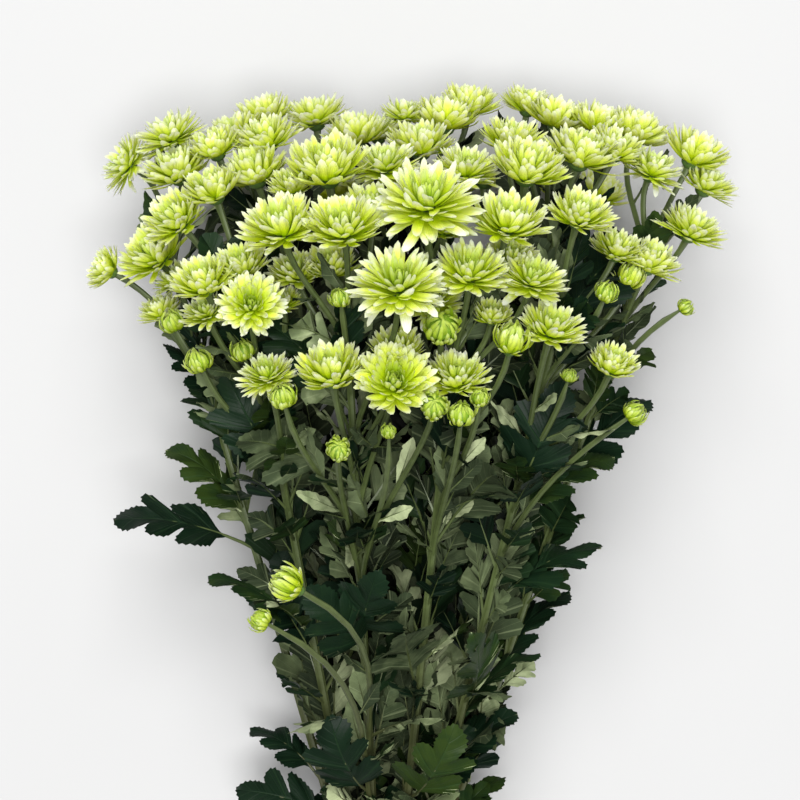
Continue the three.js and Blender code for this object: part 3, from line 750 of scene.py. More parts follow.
@dataclass(frozen=True)
class FrontLeaves:
    """Smaller leaves up the front of the outer stems, which hide most of the stalks."""

    lowest: int = -330
    step: int = 21
    numbers: int = 40  # kept for each stem
    foot_play: float = 10.0
    favour: float = 6.0  # millimetres by which they prefer the front
    turn: Span = (-100, 100)
    length: Span = (38, 64)
    lean: Span = (16, 58)
    fall: Span = (0.0, 0.22)
    nod: Span = (-0.8, 0.9)
    roll: Span = (-0.6, 0.6)
    cup: Span = (0.05, 0.5)

    def leaf(self, stem: int, y: float, number: int) -> Leaf:
        """Grows a leaf on the outer side of a stem.

        Args:
            stem: Number of the stem.
            y: Level of the leaf's foot.
            number: The leaf's number, which seeds its draws.

        Returns:
            The leaf.
        """
        start = stem_point(STEMS[stem], y)
        along = stem_direction(STEMS[stem], y)
        out = square_to(along, start - middle_line(y) + vec(0, 0, self.favour))
        side = np.cross(along, out)
        turn = math.radians(pick(self.turn, number, Trait.TURN))
        away = out * math.cos(turn) + side * math.sin(turn)
        length = pick(self.length, number, Trait.LENGTH)
        lean = math.radians(pick(self.lean, number, Trait.LEAN))
        heading = along * math.cos(lean) + away * math.sin(lean)
        tip = start + heading * length
        fall = (away - along * 0.6) * length * pick(self.fall, number, Trait.CURL)
        rib = Bezier(start, start + heading * length * 0.3, tip - heading * length * 0.25, tip + fall)
        nod = pick(self.nod, number, Trait.ROLL)
        faces = away * 0.5 - along * nod + side * pick(self.roll, number, Trait.SIDE)
        return Leaf(stem, rib, faces, pick(self.cup, number, Trait.CUP), number, Cut.PLAIN)

    def grow(self) -> list[Leaf]:
        """Grows the leaves of all outer stems.

        Returns:
            The leaves.
        """
        leaves = []
        for stem, line in enumerate(STEMS):
            if line.ring != OUTER_RING_R:
                continue
            for level, y in enumerate(range(self.lowest, int(line.top), self.step)):
                number = FIRST_FRONT + self.numbers * stem + level
                foot = y + self.foot_play * draw(number, Trait.FOOT)
                leaves.append(self.leaf(stem, foot, number))
        return leaves


@dataclass(frozen=True)
class BranchLeaves:
    """Leaves at the forks and along the side branches, smaller towards the heads.

    A place is a share of the branch, with the usual length of the leaf that grows there.
    """

    places: tuple[Span, ...] = ((0.04, 56), (0.26, 46), (0.5, 36), (0.74, 36))
    least_branch: float = 70.0  # a shorter branch has a leaf at its fork only
    front_z: float = 170.0  # heads above this height have no leaf close below them
    open_side: float = 115.0  # heads beyond this place across, and
    open_z: float = 150.0  # below this height, stand apart and have larger leaves
    open_growth: float = 1.5
    length: Span = (0.8, 1.1)
    lean: Span = (24, 46)

    def leaf(
        self, line: Bezier, share: float, size: float, growth: float, number: int
    ) -> tuple[Bezier, Vec]:
        """Grows a leaf at a place on a branch.

        Args:
            line: The branch.
            share: The place, as a share of the branch.
            size: The leaf's usual length.
            growth: How much longer it has grown.
            number: The leaf's number, which seeds its draws.

        Returns:
            The leaf's midrib, and where its upper face looks.
        """
        start = line.point(share)
        along = line.tangent(share)
        turn = 2 * math.pi * draw(number, Trait.TURN)
        side = square_to(along, vec(math.cos(turn), 0.1, math.sin(turn)))
        length = size * pick(self.length, number, Trait.LENGTH) * growth
        lean = math.radians(pick(self.lean, number, Trait.LEAN))
        heading = along * math.cos(lean) + side * math.sin(lean)
        tip = start + heading * length
        rib = Bezier(start, start + heading * length * 0.3, tip - heading * length * 0.3, tip)
        return rib, side - along * 0.3

    def grow(self, carried: list[tuple[Head, int]]) -> list[Leaf]:
        """Grows the leaves of all branches.

        Args:
            carried: Each head with the number of its stem.

        Returns:
            The leaves.
        """
        leaves = []
        last = len(self.places) - 1
        for i, (head, stem) in enumerate(carried):
            line = branch_line(head, STEMS[stem])
            reach = line.length()
            apart = head.x > self.open_side and head.z < self.open_z
            for j, (share, size) in enumerate(self.places):
                too_short = size > reach or (j > 0 and reach < self.least_branch)
                if too_short or (j == last and head.z > self.front_z):
                    continue
                number = FIRST_NEAR_HEAD + i if j == last else FIRST_BRANCH + last * i + j
                growth = self.open_growth if apart and j > 0 else 1.0
                rib, faces = self.leaf(line, share, size, growth, number)
                cut = Cut.PLAIN if j == 0 or apart else Cut.LANCE
                leaves.append(Leaf(stem, rib, faces, 0.3, number, cut))
        return leaves


@dataclass(frozen=True)
class Room:
    """Where filling leaves may grow: outside every flower head, and between the fan's sides."""

    head_clear: float = 1.0  # radii between a blade and the middle of a head
    tie_margin: float = 28.0  # blades may pass the fan's side by this much at the tie,
    crown_margin: float = 12.0  # by this much at the crown,
    fan_reach: float = 1.06  # and by this share of the fan's half width more
    samples: int = 12
    first_free: int = 4  # samples near the foot that may be anywhere across

    def beyond_fan(self, point: Vec) -> float:
        """How far out from the middle line a point lies, as a share of the fan's half width.

        Args:
            point: The point.

        Returns:
            The share, less the margin.
        """
        share = max(0.02, risen(point[1]))
        margin = mix(self.tie_margin, self.crown_margin, share)
        side = abs(point[0] - middle_line(point[1])[0]) - margin
        return side / (CROWN_HALF_WIDTH * share)

    def holds(self, leaf: Leaf, heads: list[Head]) -> bool:
        """Whether a leaf's blade passes outside every head and stays in the fan.

        Args:
            leaf: The leaf.
            heads: All the flower heads and buds.

        Returns:
            True if it may grow.
        """
        line = leaf.rib.point(np.linspace(PETIOLE, 1, self.samples))
        if max(self.beyond_fan(point) for point in line[self.first_free :]) >= self.fan_reach:
            return False
        gaps = [np.linalg.norm(line - h.core, axis=1).min() * 2 / h.width for h in heads]
        return min(gaps) > self.head_clear


def all_leaves(owners: list[tuple[Head, int]]) -> list[Leaf]:
    """Every leaf of the bunch: the solids' own, and those that fill the bunch between them.

    Args:
        owners: Each head and bud with the number of its stem.

    Returns:
        The leaves.
    """
    shown = [leaf.leaf(FIRST_SHOWN + i) for i, leaf in enumerate(SHOWN_LEAVES)]
    filling = [*InnerLeaves().grow(), *FrontLeaves().grow(), *BranchLeaves().grow(owners)]
    heads = [head for head, _ in owners]
    room = Room()
    kept = [leaf for leaf in filling if room.holds(leaf, heads)]
    return [*shown, *TierLeaves().grow(shown), *kept]


# ---- making meshes ---------------------------------------------------------


def active_piece() -> bpy.types.Object:
    """The object that the last operator made."""
    return bpy.context.view_layer.objects.active


def select_only(*pieces: bpy.types.Object) -> None:
    """Selects these objects and no others; the first one is the active one.

    Args:
        pieces: The objects, or none.
    """
    bpy.ops.object.select_all(action="DESELECT")
    for piece in pieces:
        piece.select_set(True)
    if pieces:
        bpy.context.view_layer.objects.active = pieces[0]


def extrude(step: tuple[float, ...], grow: tuple[float, ...], middle: tuple[float, ...]) -> None:
    """Extrudes what is selected in edit mode, and resizes the new end.

    Args:
        step: How far it is moved, in x, y and z.
        grow: How much it is resized in x, y and z.
        middle: The point about which it is resized.
    """
    bpy.ops.mesh.extrude_region_move(TRANSFORM_OT_translate={"value": step})
    bpy.ops.transform.resize(value=grow, center_override=middle)


def turn_faces_outwards() -> None:
    """Points all faces of the mesh in edit mode outwards, and leaves edit mode."""
    bpy.ops.mesh.select_all(action="SELECT")
    bpy.ops.mesh.normals_make_consistent(inside=False)
    bpy.ops.object.mode_set(mode="OBJECT")


@dataclass
class MeshBatch:
    """Vertices and faces that gather into one mesh, with UVs, material numbers and tones."""

    points: list[np.ndarray] = field(default_factory=list)
    faces: list[np.ndarray] = field(default_factory=list)
    uvs: list[np.ndarray] = field(default_factory=list)
    finishes: list[np.ndarray] = field(default_factory=list)
    tones: list[np.ndarray] = field(default_factory=list)
    count: int = 0
    smooth: float = 62.0  # degrees up to which two faces meet without an edge

    def add(self, points: Vec, faces: np.ndarray, uv: Vec, finish: np.ndarray, tone: Vec) -> None:
        """Adds one part.

        Args:
            points: Vertices in layout millimetres, (n, 3).
            faces: Triangles or quads as rows of 4 numbers, with -1 last for a triangle.
            uv: One UV for each vertex, (n, 2).
            finish: Material number of each face.
            tone: One value pair for each vertex, (n, 2), or for all: place and chance shade.
        """
        self.points.append(points)
        self.faces.append(np.where(faces >= 0, faces + self.count, -1))
        self.uvs.append(uv)
        self.finishes.append(finish)
        self.tones.append(np.broadcast_to(tone, (len(points), 2)))
        self.count += len(points)

    def piece(self, name: str, materials: list[bpy.types.Material], shift: Vec) -> bpy.types.Object:
        """Makes the mesh object.

        Args:
            name: Name of the piece.
            materials: Its material slots, in order.
            shift: From layout to frame, in millimetres.

        Returns:
            The object, at the origin, with its place in its mesh.
        """
        points = (np.concatenate(self.points) + shift) * MM
        faces = np.concatenate(self.faces)
        sizes = (faces >= 0).sum(axis=1)
        loops = faces[faces >= 0]
        mesh = bpy.data.meshes.new(name)
        mesh.vertices.add(len(points))
        mesh.vertices.foreach_set("co", points.astype(np.float32).ravel())
        mesh.loops.add(len(loops))
        mesh.loops.foreach_set("vertex_index", loops.astype(np.int32))
        mesh.polygons.add(len(faces))
        starts = np.concatenate(([0], np.cumsum(sizes)[:-1]))
        mesh.polygons.foreach_set("loop_start", starts.astype(np.int32))
        for material in materials:
            mesh.materials.append(material)
        mesh.polygons.foreach_set("material_index", np.concatenate(self.finishes).astype(np.int32))
        mesh.polygons.foreach_set("use_smooth", np.ones(len(faces), dtype=bool))
        layer = mesh.uv_layers.new(name="UVMap")
        layer.data.foreach_set("uv", np.concatenate(self.uvs)[loops].astype(np.float32).ravel())
        tones = np.concatenate(self.tones).astype(np.float32)
        for i, label in enumerate(("place", "shade")):
            values = mesh.attributes.new(label, "FLOAT", "POINT")
            values.data.foreach_set("value", np.ascontiguousarray(tones[:, i]))
        mesh.update(calc_edges=True)
        mesh.validate()
        piece = bpy.data.objects.new(name, mesh)
        bpy.context.scene.collection.objects.link(piece)
        select_only(piece)
        bpy.ops.object.shade_smooth_by_angle(angle=math.radians(self.smooth))
        return piece


@dataclass(frozen=True)
class Template:
    """A small shape that is modelled once: its vertices, faces and UVs."""

    points: np.ndarray
    faces: np.ndarray
    uv: np.ndarray

    @staticmethod
    def take(uv: np.ndarray | None = None) -> "Template":
        """Reads the active object's mesh and deletes the object.

        Args:
            uv: One UV for each vertex, or none where the shape's finish needs no UVs.

        Returns:
            The shape.
        """
        piece = active_piece()
        points = np.array([vertex.co[:] for vertex in piece.data.vertices])
        faces = np.full((len(piece.data.polygons), 4), -1)
        for i, polygon in enumerate(piece.data.polygons):
            faces[i, : len(polygon.vertices)] = polygon.vertices[:]
        bpy.data.objects.remove(piece)
        return Template(points, faces, np.zeros((len(points), 2)) if uv is None else uv)


# ---- petals, heads and cups ------------------------------------------------


@dataclass
class PetalShape:
    """A closed, channelled petal, 1 long and 1 wide, extruded from a four-sided section."""

    stations: tuple[float, ...] = (0.0, 0.24, 0.5, 0.74, 0.92)
    widths: tuple[float, ...] = (0.5, 0.82, 1.0, 0.96, 0.62)
    section: tuple[Span, ...] = ((-0.5, 0.14), (0.0, -0.075), (0.5, 0.14), (0.0, 0.02))
    tip_width: float = 0.05

    def model(self) -> Template:
        """Models the petal along Y, with its width along X.

        Returns:
            The petal, with UVs that run across and along it.
        """
        select_only()
        bpy.ops.mesh.primitive_circle_add(vertices=4, radius=0.5, fill_type="NGON")
        piece = active_piece()
        for vertex, (x, z) in zip(piece.data.vertices, self.section):
            vertex.co = (x * self.widths[0], 0, z * self.widths[0])
        bpy.ops.object.mode_set(mode="EDIT")
        bpy.ops.mesh.select_all(action="SELECT")
        for i in range(1, len(self.stations)):
            step = self.stations[i] - self.stations[i - 1]
            grow = self.widths[i] / self.widths[i - 1]
            extrude((0, step, 0), (grow, 1, grow), (0, self.stations[i], 0))
        last = 1 - self.stations[-1]
        bpy.ops.mesh.extrude_region_move(TRANSFORM_OT_translate={"value": (0, last, 0)})
        bpy.ops.mesh.merge(type="CENTER")
        bpy.ops.mesh.select_all(action="SELECT")
        bpy.ops.mesh.quads_convert_to_tris(quad_method="BEAUTY", ngon_method="BEAUTY")
        turn_faces_outwards()
        points = np.array([vertex.co[:] for vertex in piece.data.vertices])
        along = points[:, 1]
        width = np.interp(along, (*self.stations, 1.0), (*self.widths, self.tip_width))
        return Template.take(np.stack((points[:, 0] / width + 0.5, along), axis=1))


@dataclass(frozen=True)
class Whorl:
    """Petals that stand at one level of a head.

    The radius and height of their feet, their length and their width are shares of the head's
    radius. They rise at the low angle at the foot and at the high one at the tip, in degrees
    from level. The place runs from 0, outermost, to 1, in the heart, and sets their colour.
    """

    count: int
    foot_r: float
    foot_h: float
    length: float
    width: float
    low: float
    high: float
    place: float


BUD_WHORLS = (
    Whorl(16, 0.15, 0.02, 1.35, 0.34, -8, 100, 0.42),
    Whorl(18, 0.14, 0.04, 1.8, 0.3, -4, 138, 0.52),
    Whorl(20, 0.12, 0.06, 2.15, 0.26, 2, 172, 0.64),
)
HALF_WHORLS = (
    Whorl(12, 0.2, 0.03, 1.1, 0.3, 22, 66, 0.2),
    Whorl(18, 0.22, 0.06, 1.7, 0.3, 20, 128, 0.4),
    Whorl(16, 0.2, 0.12, 1.68, 0.27, 34, 142, 0.56),
    Whorl(12, 0.14, 0.3, 1.3, 0.2, 60, 138, 0.75),
    Whorl(10, 0.1, 0.5, 0.95, 0.13, 74, 132, 1.0),
)

# Half width, half height and level of a head's core, as shares of the head's radius.
HEARTS = {
    Form.OPEN: (0.13, 0.18, 0.22),
    Form.HALF: (0.5, 0.5, 0.54),
    Form.BUD: (0.72, 0.56, 0.66),
}


def open_whorls(age: float) -> tuple[Whorl, ...]:
    """The whorls of an open head, which spreads and lets its lowest petals droop as it ages.

    Args:
        age: From 0, just opened, to 1, fully spread.

    Returns:
        Whorls from the outside in.
    """
    drooping = round(8 * age - 1.5)
    return (
        Whorl(drooping if drooping > 3 else 0, 0.22, 0.0, 0.92, 0.26, -14, -54, 0.0),
        Whorl(21, 0.22, 0.02, 1.0, 0.25, 12 - 24 * age, 50 - 56 * age, 0.02),
        Whorl(22, 0.21, 0.06, 1.04, 0.25, 20 - 24 * age, 60 - 54 * age, 0.05),
        Whorl(22, 0.2, 0.1, 1.04, 0.24, 31 - 20 * age, 68 - 46 * age, 0.12),
        Whorl(20, 0.18, 0.14, 1.0, 0.22, 41 - 17 * age, 76 - 38 * age, 0.2),
        Whorl(17, 0.16, 0.18, 0.88, 0.17, 50 - 14 * age, 90 - 28 * age, 0.34),
        Whorl(16, 0.13, 0.2, 0.7, 0.13, 57 - 8 * age, 100 - 18 * age, 0.52),
        Whorl(14, 0.1, 0.22, 0.52, 0.1, 64, 112, 0.74),
        Whorl(11, 0.06, 0.23, 0.4, 0.08, 73, 122, 1.0),
    )


@dataclass
class HeadBuilder:
    """Builds flower heads and buds from whorls of petals round a small core."""

    turn_play: float = 0.26  # of the step between two petals
    length_play: Span = (0.84, 1.06)
    width_play: Span = (0.82, 1.12)
    low_play: float = 6.0  # degrees
    high_play: float = 13.0
    lean_play: float = 9.0
    roll_play: float = 0.16
    lift_play: float = 0.05  # of the head's radius, at the tip
    hollow: Span = (0.6, 1.6)  # how deep the channel is, outermost and in the heart
    soft: float = 0.75  # pressed petals stay as they are up to this share of the way to a wall,
    squeeze: float = 0.27  # and are squeezed into this share beyond it
    floor_soft: float = 2.0  # millimetres above the floor in which petals are pressed up
    oldest: float = 0.85
    youth: float = 1.6

    def __post_init__(self) -> None:
        """Models the petal and the core once."""
        self.petal = PetalShape().model()
        select_only()
        bpy.ops.mesh.primitive_uv_sphere_add(segments=12, ring_count=8, radius=1)
        self.core = Template.take()

    def petals(self, whorl: Whorl, radius: float, number: int, age: float) -> tuple[Vec, Vec]:
        """Copies of the petal round one whorl, about the head's own axis.

        Each copy is bent along a circular arc, channelled, rolled about its own length and
        leant to the side.

        Args:
            whorl: The whorl.
            radius: The head's radius.
            number: The head's number, which seeds its draws.
            age: How far the head has opened.

        Returns:
            Points (petals, vertices, 3) and tones (petals, vertices, 2).
        """
        rng = np.random.default_rng(number * 97 + int(whorl.place * 100))
        n = whorl.count
        steps = np.arange(n) + self.turn_play * rng.uniform(-1, 1, n)
        turn = 2 * math.pi * steps / n + rng.uniform(0, 6.3)
        length = whorl.length * radius * rng.uniform(*self.length_play, n)
        width = whorl.width * radius * rng.uniform(*self.width_play, n)
        low = np.radians(whorl.low + rng.normal(0, self.low_play, n))
        high = np.radians(whorl.high + rng.normal(0, self.high_play, n))
        lean = np.radians(rng.normal(0, self.lean_play, n))
        roll = rng.normal(0, self.roll_play, n)[:, None]
        x, v, z = self.petal.points.T
        bend = high - low
        bend = np.where(np.abs(bend) < 1e-3, 1e-3, bend)[:, None]
        arc = length[:, None] / bend
        angle = low[:, None] + bend * v
        out = whorl.foot_r * radius + arc * (np.sin(angle) - np.sin(low)[:, None])
        up = whorl.foot_h * radius - arc * (np.cos(angle) - np.cos(low)[:, None])
        flat, deep = x * width[:, None], z * width[:, None] * mix(*self.hollow, whorl.place)
        across = flat * np.cos(roll * v) - deep * np.sin(roll * v)
        lift = deep * np.cos(roll * v) + flat * np.sin(roll * v)
        lift = lift + self.lift_play * radius * v * v * rng.uniform(-1, 1, (n, 1))
        out = out - lift * np.sin(angle)
        up = up + lift * np.cos(angle)
        side = across + out * np.tan(lean)[:, None] * v
        c, s = np.cos(turn)[:, None], np.sin(turn)[:, None]
        points = np.stack((out * c - side * s, out * s + side * c, up), axis=2)
        place = np.full((n, len(v)), whorl.place)
        faded = 0.5 * age + (0.5 if whorl.foot_h == 0 else 0.0)
        shade = np.repeat(rng.uniform(0, 1, (n, 1)) * 0.5 + faded, len(v), axis=1)
        return points, np.stack((place, shade), axis=2)

    def seat(self, head: Head, local: Vec, walls: list[tuple[Vec, float]]) -> Vec:
        """Turns points to a head's axis, and presses them against its walls and the floor.

        Args:
            head: The head.
            local: Points about the head's own axis, from its base.
            walls: Planes (normal, distance from the core) that it presses against.

        Returns:
            The points in the layout.
        """
        right, ahead = head.sides()
        world = head.base + local[:, :1] * right + local[:, 1:2] * ahead + local[:, 2:] * head.axis
        for normal, distance in walls:
            arm = world - head.core
            reach = (arm @ normal) / distance
            pressed = self.soft + self.squeeze * np.tanh((reach - self.soft) / self.squeeze)
            scale = np.where(reach > self.soft, pressed / np.maximum(reach, self.soft), 1.0)
            world = head.core + arm * scale[:, None]
        height, soft = world[:, 2], self.floor_soft
        world[:, 2] = np.where(height > soft, height, soft * np.exp((height - soft) / soft))
        return world

    def add(self, batch: MeshBatch, head: Head, number: int, walls: list[tuple[Vec, float]]) -> None:
        """Adds a head to a batch.

        Args:
            batch: Where it goes.
            head: The head.
            number: The head's number, which seeds its draws.
            walls: Planes (normal, distance from the core) that it presses against.
        """
        age = 0.0
        if head.form is Form.OPEN:
            age = self.oldest * draw(number, Trait.AGE) ** self.youth
        whorls = {Form.OPEN: open_whorls(age), Form.HALF: HALF_WHORLS, Form.BUD: BUD_WHORLS}
        for whorl in whorls[head.form]:
            if whorl.count == 0:
                continue
            points, tones = self.petals(whorl, head.radius, number, age)
            copies, size = points.shape[:2]
            faces = self.petal.faces
            blocks = [np.where(faces < 0, -1, faces + i * size) for i in range(copies)]
            batch.add(
                self.seat(head, points.reshape(-1, 3), walls),
                np.concatenate(blocks),
                np.tile(self.petal.uv, (copies, 1)),
                np.zeros(copies * len(faces)),
                tones.reshape(-1, 2),
            )
        wide, high, level = HEARTS[head.form]
        heart = self.core.points * (wide * head.radius, wide * head.radius, high * head.radius)
        heart = self.seat(head, heart + (0, 0, level * head.radius), walls)
        finish = np.ones(len(self.core.faces))
        batch.add(heart, self.core.faces, self.core.uv, finish, (1.0, 0.5))


@dataclass
class CupShape:
    """The green cup under a head: a small bowl whose rim ends in pointed scales."""

    sides: int = 16
    rings: tuple[Span, ...] = ((0.26, -1.0), (0.55, -0.82), (0.88, -0.45), (1.02, 0.05))
    scale: float = 0.42  # height of the scales

    def model(self) -> Template:
        """Models the cup below the plane of its rim.

        Returns:
            The cup, 1 in radius and 1 high.
        """
        select_only()
        radius, low = self.rings[0]
        bpy.ops.mesh.primitive_circle_add(vertices=self.sides, radius=radius, fill_type="TRIFAN")
        bpy.ops.object.mode_set(mode="EDIT")
        bpy.ops.mesh.select_all(action="SELECT")
        bpy.ops.transform.translate(value=(0, 0, low))
        for (narrow, foot), (wide, rim) in zip(self.rings, self.rings[1:]):
            grow = wide / narrow
            extrude((0, 0, rim - foot), (grow, grow, 1), (0, 0, rim))
        turn_faces_outwards()
        for vertex in active_piece().data.vertices:
            step = round(math.atan2(vertex.co.y, vertex.co.x) / (2 * math.pi) * self.sides)
            if vertex.co.z > 0 and math.hypot(vertex.co.x, vertex.co.y) > 0.5:
                vertex.co.z += self.scale * (step % 2)
        return Template.take()


# ---- leaves as meshes ------------------------------------------------------

# Half a leaf's outline from stalk to tip: place along the leaf and out from the midrib, where
# the vein to that place leaves the midrib, and how tall the next tooth is. Shares of the
# leaf's length: two lobes with a deep bay behind each, then the toothed end.
LEAF_OUTLINE = np.array(
    (
        (0.240, 0.012, 0.240, 0.0),
        (0.320, 0.040, 0.255, 0.0),
        (0.365, 0.125, 0.275, 0.7),
        (0.440, 0.205, 0.300, 1.0),
        (0.520, 0.250, 0.330, 1.0),
        (0.595, 0.235, 0.360, 0.6),
        (0.580, 0.145, 0.390, 0.0),
        (0.545, 0.080, 0.430, 0.0),
        (0.590, 0.070, 0.470, 0.3),
        (0.640, 0.140, 0.500, 0.8),
        (0.710, 0.205, 0.530, 1.0),
        (0.790, 0.210, 0.580, 0.6),
        (0.795, 0.130, 0.630, 0.0),
        (0.775, 0.090, 0.670, 0.2),
        (0.825, 0.105, 0.720, 0.8),
        (0.890, 0.108, 0.780, 0.9),
        (0.955, 0.070, 0.860, 0.6),
        (1.000, 0.000, 1.000, 0.0),
    )
)
TOOTH = 0.021
# Half the outline of the small leaves near the heads: a lance with a few teeth.
LANCE_OUTLINE = np.array(
    (
        (0.05, 0.020, 0.050, 0.0),
        (0.20, 0.060, 0.120, 0.0),
        (0.36, 0.115, 0.240, 0.5),
        (0.52, 0.140, 0.380, 0.8),
        (0.68, 0.130, 0.540, 0.8),
        (0.84, 0.085, 0.720, 0.4),
        (1.00, 0.000, 1.000, 0.0),
    )
)


def leaf_rows(outline: np.ndarray, per_span: int) -> np.ndarray:
    """A leaf's outline as a smooth curve with one or two teeth to each span.

    Args:
        outline: Half the outline.
        per_span: Rows for each span of the outline: 2 or 3 for one tooth, 4 for two.

    Returns:
        Rows of (vein foot, along, out).
    """
    ends = np.concatenate((outline[:1], outline, outline[-1:]))
    rows = []
    for i in range(len(outline) - 1):
        before, first, second, after = ends[i : i + 4]
        for j in range(per_span):
            t = j / per_span
            smooth = 0.5 * (
                2 * first
                + (second - before) * t
                + (2 * before - 5 * first + 4 * second - after) * t * t
                + (3 * first - before - 3 * second + after) * t**3
            )
            run = second[:2] - first[:2]
            outwards = np.array((-run[1], run[0])) / np.linalg.norm(run)
            dip = j == 0 or (per_span == 4 and j == 2)
            tooth = TOOTH * first[3] * (0.1 if dip else 1.0)
            along, out = smooth[:2] + outwards * tooth
            rows.append((smooth[2], along, max(out, 0.0)))
    rows.append((1.0, 1.0, 0.0))
    return np.array(rows)


@dataclass
class LeafBuilder:
    """Builds lobed leaves with a dark upper face, a pale underside and a stalk."""

    thick: float = 0.8
    petiole_r: float = 1.15
    full_size: float = 60.0  # shorter leaves are thinner in proportion
    shown_twist: Span = (-0.5, 0.5)  # radians from the blade's foot to one length further
    twist: Span = (-1.3, 1.3)
    shown_droop: Span = (0.3, 1.1)  # how strongly the sides of the blade hang
    droop: Span = (-0.5, 1.9)
    swell: float = 0.16  # how much the lobes differ in width,
    swell_waves: float = 9.0  # in a wave of so many radians along the blade
    ripple: float = 0.025  # how far the rim waves up and down, as a share of the length,
    ripple_waves: float = 19.0
    floor_clear: float = 0.2
    stations: tuple[float, ...] = (0.0, 0.12, PETIOLE, 0.4, 0.6, 0.8, 0.94)
    widths: tuple[float, ...] = (1.25, 1.0, 0.9, 0.7, 0.52, 0.34, 0.12)

    def __post_init__(self) -> None:
        """Works out the outline, and its columns, once for each cut of leaf."""
        self.outlines = {
            Cut.FINE: (leaf_rows(LEAF_OUTLINE, 4), np.array((0.0, 0.5, 1.0))),
            Cut.PLAIN: (leaf_rows(LEAF_OUTLINE, 2), np.array((0.0, 1.0))),
            Cut.LANCE: (leaf_rows(LANCE_OUTLINE, 3), np.array((0.0, 1.0))),
        }

    def add(self, batch: MeshBatch, leaf: Leaf) -> None:
        """Adds a leaf to a batch, as two halves that meet along the midrib.

        Args:
            batch: Where it goes.
            leaf: The leaf.
        """
        size = leaf.rib.length()
        rng = np.random.default_rng(leaf.number * 31 + 7)
        shade = rng.uniform(0, 1)
        swing = rng.uniform(0, 6.3, 2)
        shown = leaf.cut is Cut.FINE
        twist = rng.uniform(*(self.shown_twist if shown else self.twist))
        droop = rng.uniform(*(self.shown_droop if shown else self.droop))
        small = min(1.0, size / self.full_size)
        # The leaf's place in the bunch sets its painted shade; the chance shade is a random tone.
        tone = (self.exposure(leaf), shade)
        outline, shares = self.outlines[leaf.cut]
        low, high, wide = outline.T
        t = low[:, None] + (high - low)[:, None] * shares
        for hand, phase in ((1, swing[1]), (-1, swing[0])):
            lobed = 1 + self.swell * np.sin(high * self.swell_waves + phase)
            swell = hand * (wide * lobed)[:, None] * shares * size
            ripple = self.ripple * size * np.sin(high[:, None] * self.ripple_waves + phase)
            lift = leaf.cup * np.abs(swell) + ripple * shares**2
            lift = lift - droop * swell**2 / size
            thick = self.thick * small / 2 * (1 - shares**2)
            top = self.surface(leaf, t, swell, lift, thick, twist)
            bottom = self.surface(leaf, t, swell, lift, -thick, twist)
            self.half(batch, top, bottom, shares, hand, tone)
        self.stalk(batch, leaf, small)

    def exposure(self, leaf: Leaf) -> float:
        """How far out in the bunch a leaf grows, which sets how much painted shade darkens it.

        Args:
            leaf: The leaf.

        Returns:
            From 0 in the middle to 1 at the outside.
        """
        heart = leaf.rib.point(LEAF_HEART)
        middle = middle_line(float(heart[1]))
        spread = max(0.1, risen(float(heart[1])))
        across = (heart[0] - middle[0]) / (CROWN_HALF_WIDTH * spread)
        deep = (heart[2] - middle[2]) / (CROWN_HALF_DEPTH * spread)
        return min(1.0, math.hypot(across, deep))

    def surface(self, leaf: Leaf, t: Vec, swell: Vec, lift: Vec, offset: Vec, twist: float) -> Vec:
        """Points of one face of half a leaf, kept above the floor.

        Args:
            leaf: The leaf.
            t: Place of each point along the midrib.
            swell: How far it is out from the midrib.
            lift: How far it is above the plane of the leaf.
            offset: How far it is above the middle of the blade's thickness.
            twist: How much the blade turns along its length, in radians.

        Returns:
            The points, in the shape of t.
        """
        tangent = leaf.rib.tangent(t)
        side = unit(np.cross(tangent, leaf.faces))
        normal = np.cross(side, tangent)
        turn = (twist * (t - PETIOLE))[..., None]
        side, normal = (
            side * np.cos(turn) + normal * np.sin(turn),
            normal * np.cos(turn) - side * np.sin(turn),
        )
        points = leaf.rib.point(t) + side * swell[..., None] + normal * lift[..., None]
        points[..., 2] = np.maximum(points[..., 2], LEAF_CLEAR)
        return points + normal * offset[..., None]

    def half(
        self, batch: MeshBatch, top: Vec, bottom: Vec, shares: Vec, hand: int, tone: Span
    ) -> None:
        """Adds the two faces of half a leaf, which share their rim.

        Args:
            batch: Where they go.
            top: Points of the upper face, by row and column.
            bottom: Points of the underside.
            shares: How far out each column is, from the midrib to the rim.
            hand: 1 for one half, -1 for the other.
            tone: The leaf's place in the bunch, which sets its painted shade, and its chance shade.
        """
        rows, columns = top.shape[:2]
        index = np.arange(rows * columns).reshape(rows, columns)
        below = index + rows * columns
        below[:, -1] = index[:, -1]
        lines = np.repeat(np.arange(rows)[:, None] / (rows - 1), columns, axis=1)
        across = np.repeat(0.5 + hand * 0.5 * shares[None, :], rows, axis=0)
        uv = np.stack((across.ravel(), lines.ravel()), axis=1)

        def quads(grid: Vec, flip: bool) -> np.ndarray:
            """Faces over a grid of vertices.

            Args:
                grid: The vertices' numbers, by row and column.
                flip: Whether the faces are wound the other way.

            Returns:
                Four numbers for each face.
            """
            a, b = grid[:-1, :-1].ravel(), grid[:-1, 1:].ravel()
            c, d = grid[1:, 1:].ravel(), grid[1:, :-1].ravel()
            return np.stack((a, d, c, b) if flip else (a, b, c, d), axis=1)

        upper = quads(index, hand < 0)
        lower = quads(below, hand > 0)
        seam = np.stack((index[:-1, 0], index[1:, 0], below[1:, 0], below[:-1, 0]), axis=1)
        if hand < 0:
            seam = seam[:, ::-1]
        finish = np.concatenate((np.zeros(len(upper)), np.ones(len(lower) + len(seam))))
        points = np.concatenate((top.reshape(-1, 3), bottom.reshape(-1, 3)))
        faces = np.concatenate((upper, lower, seam))
        batch.add(points, faces, np.concatenate((uv, uv)), finish, tone)

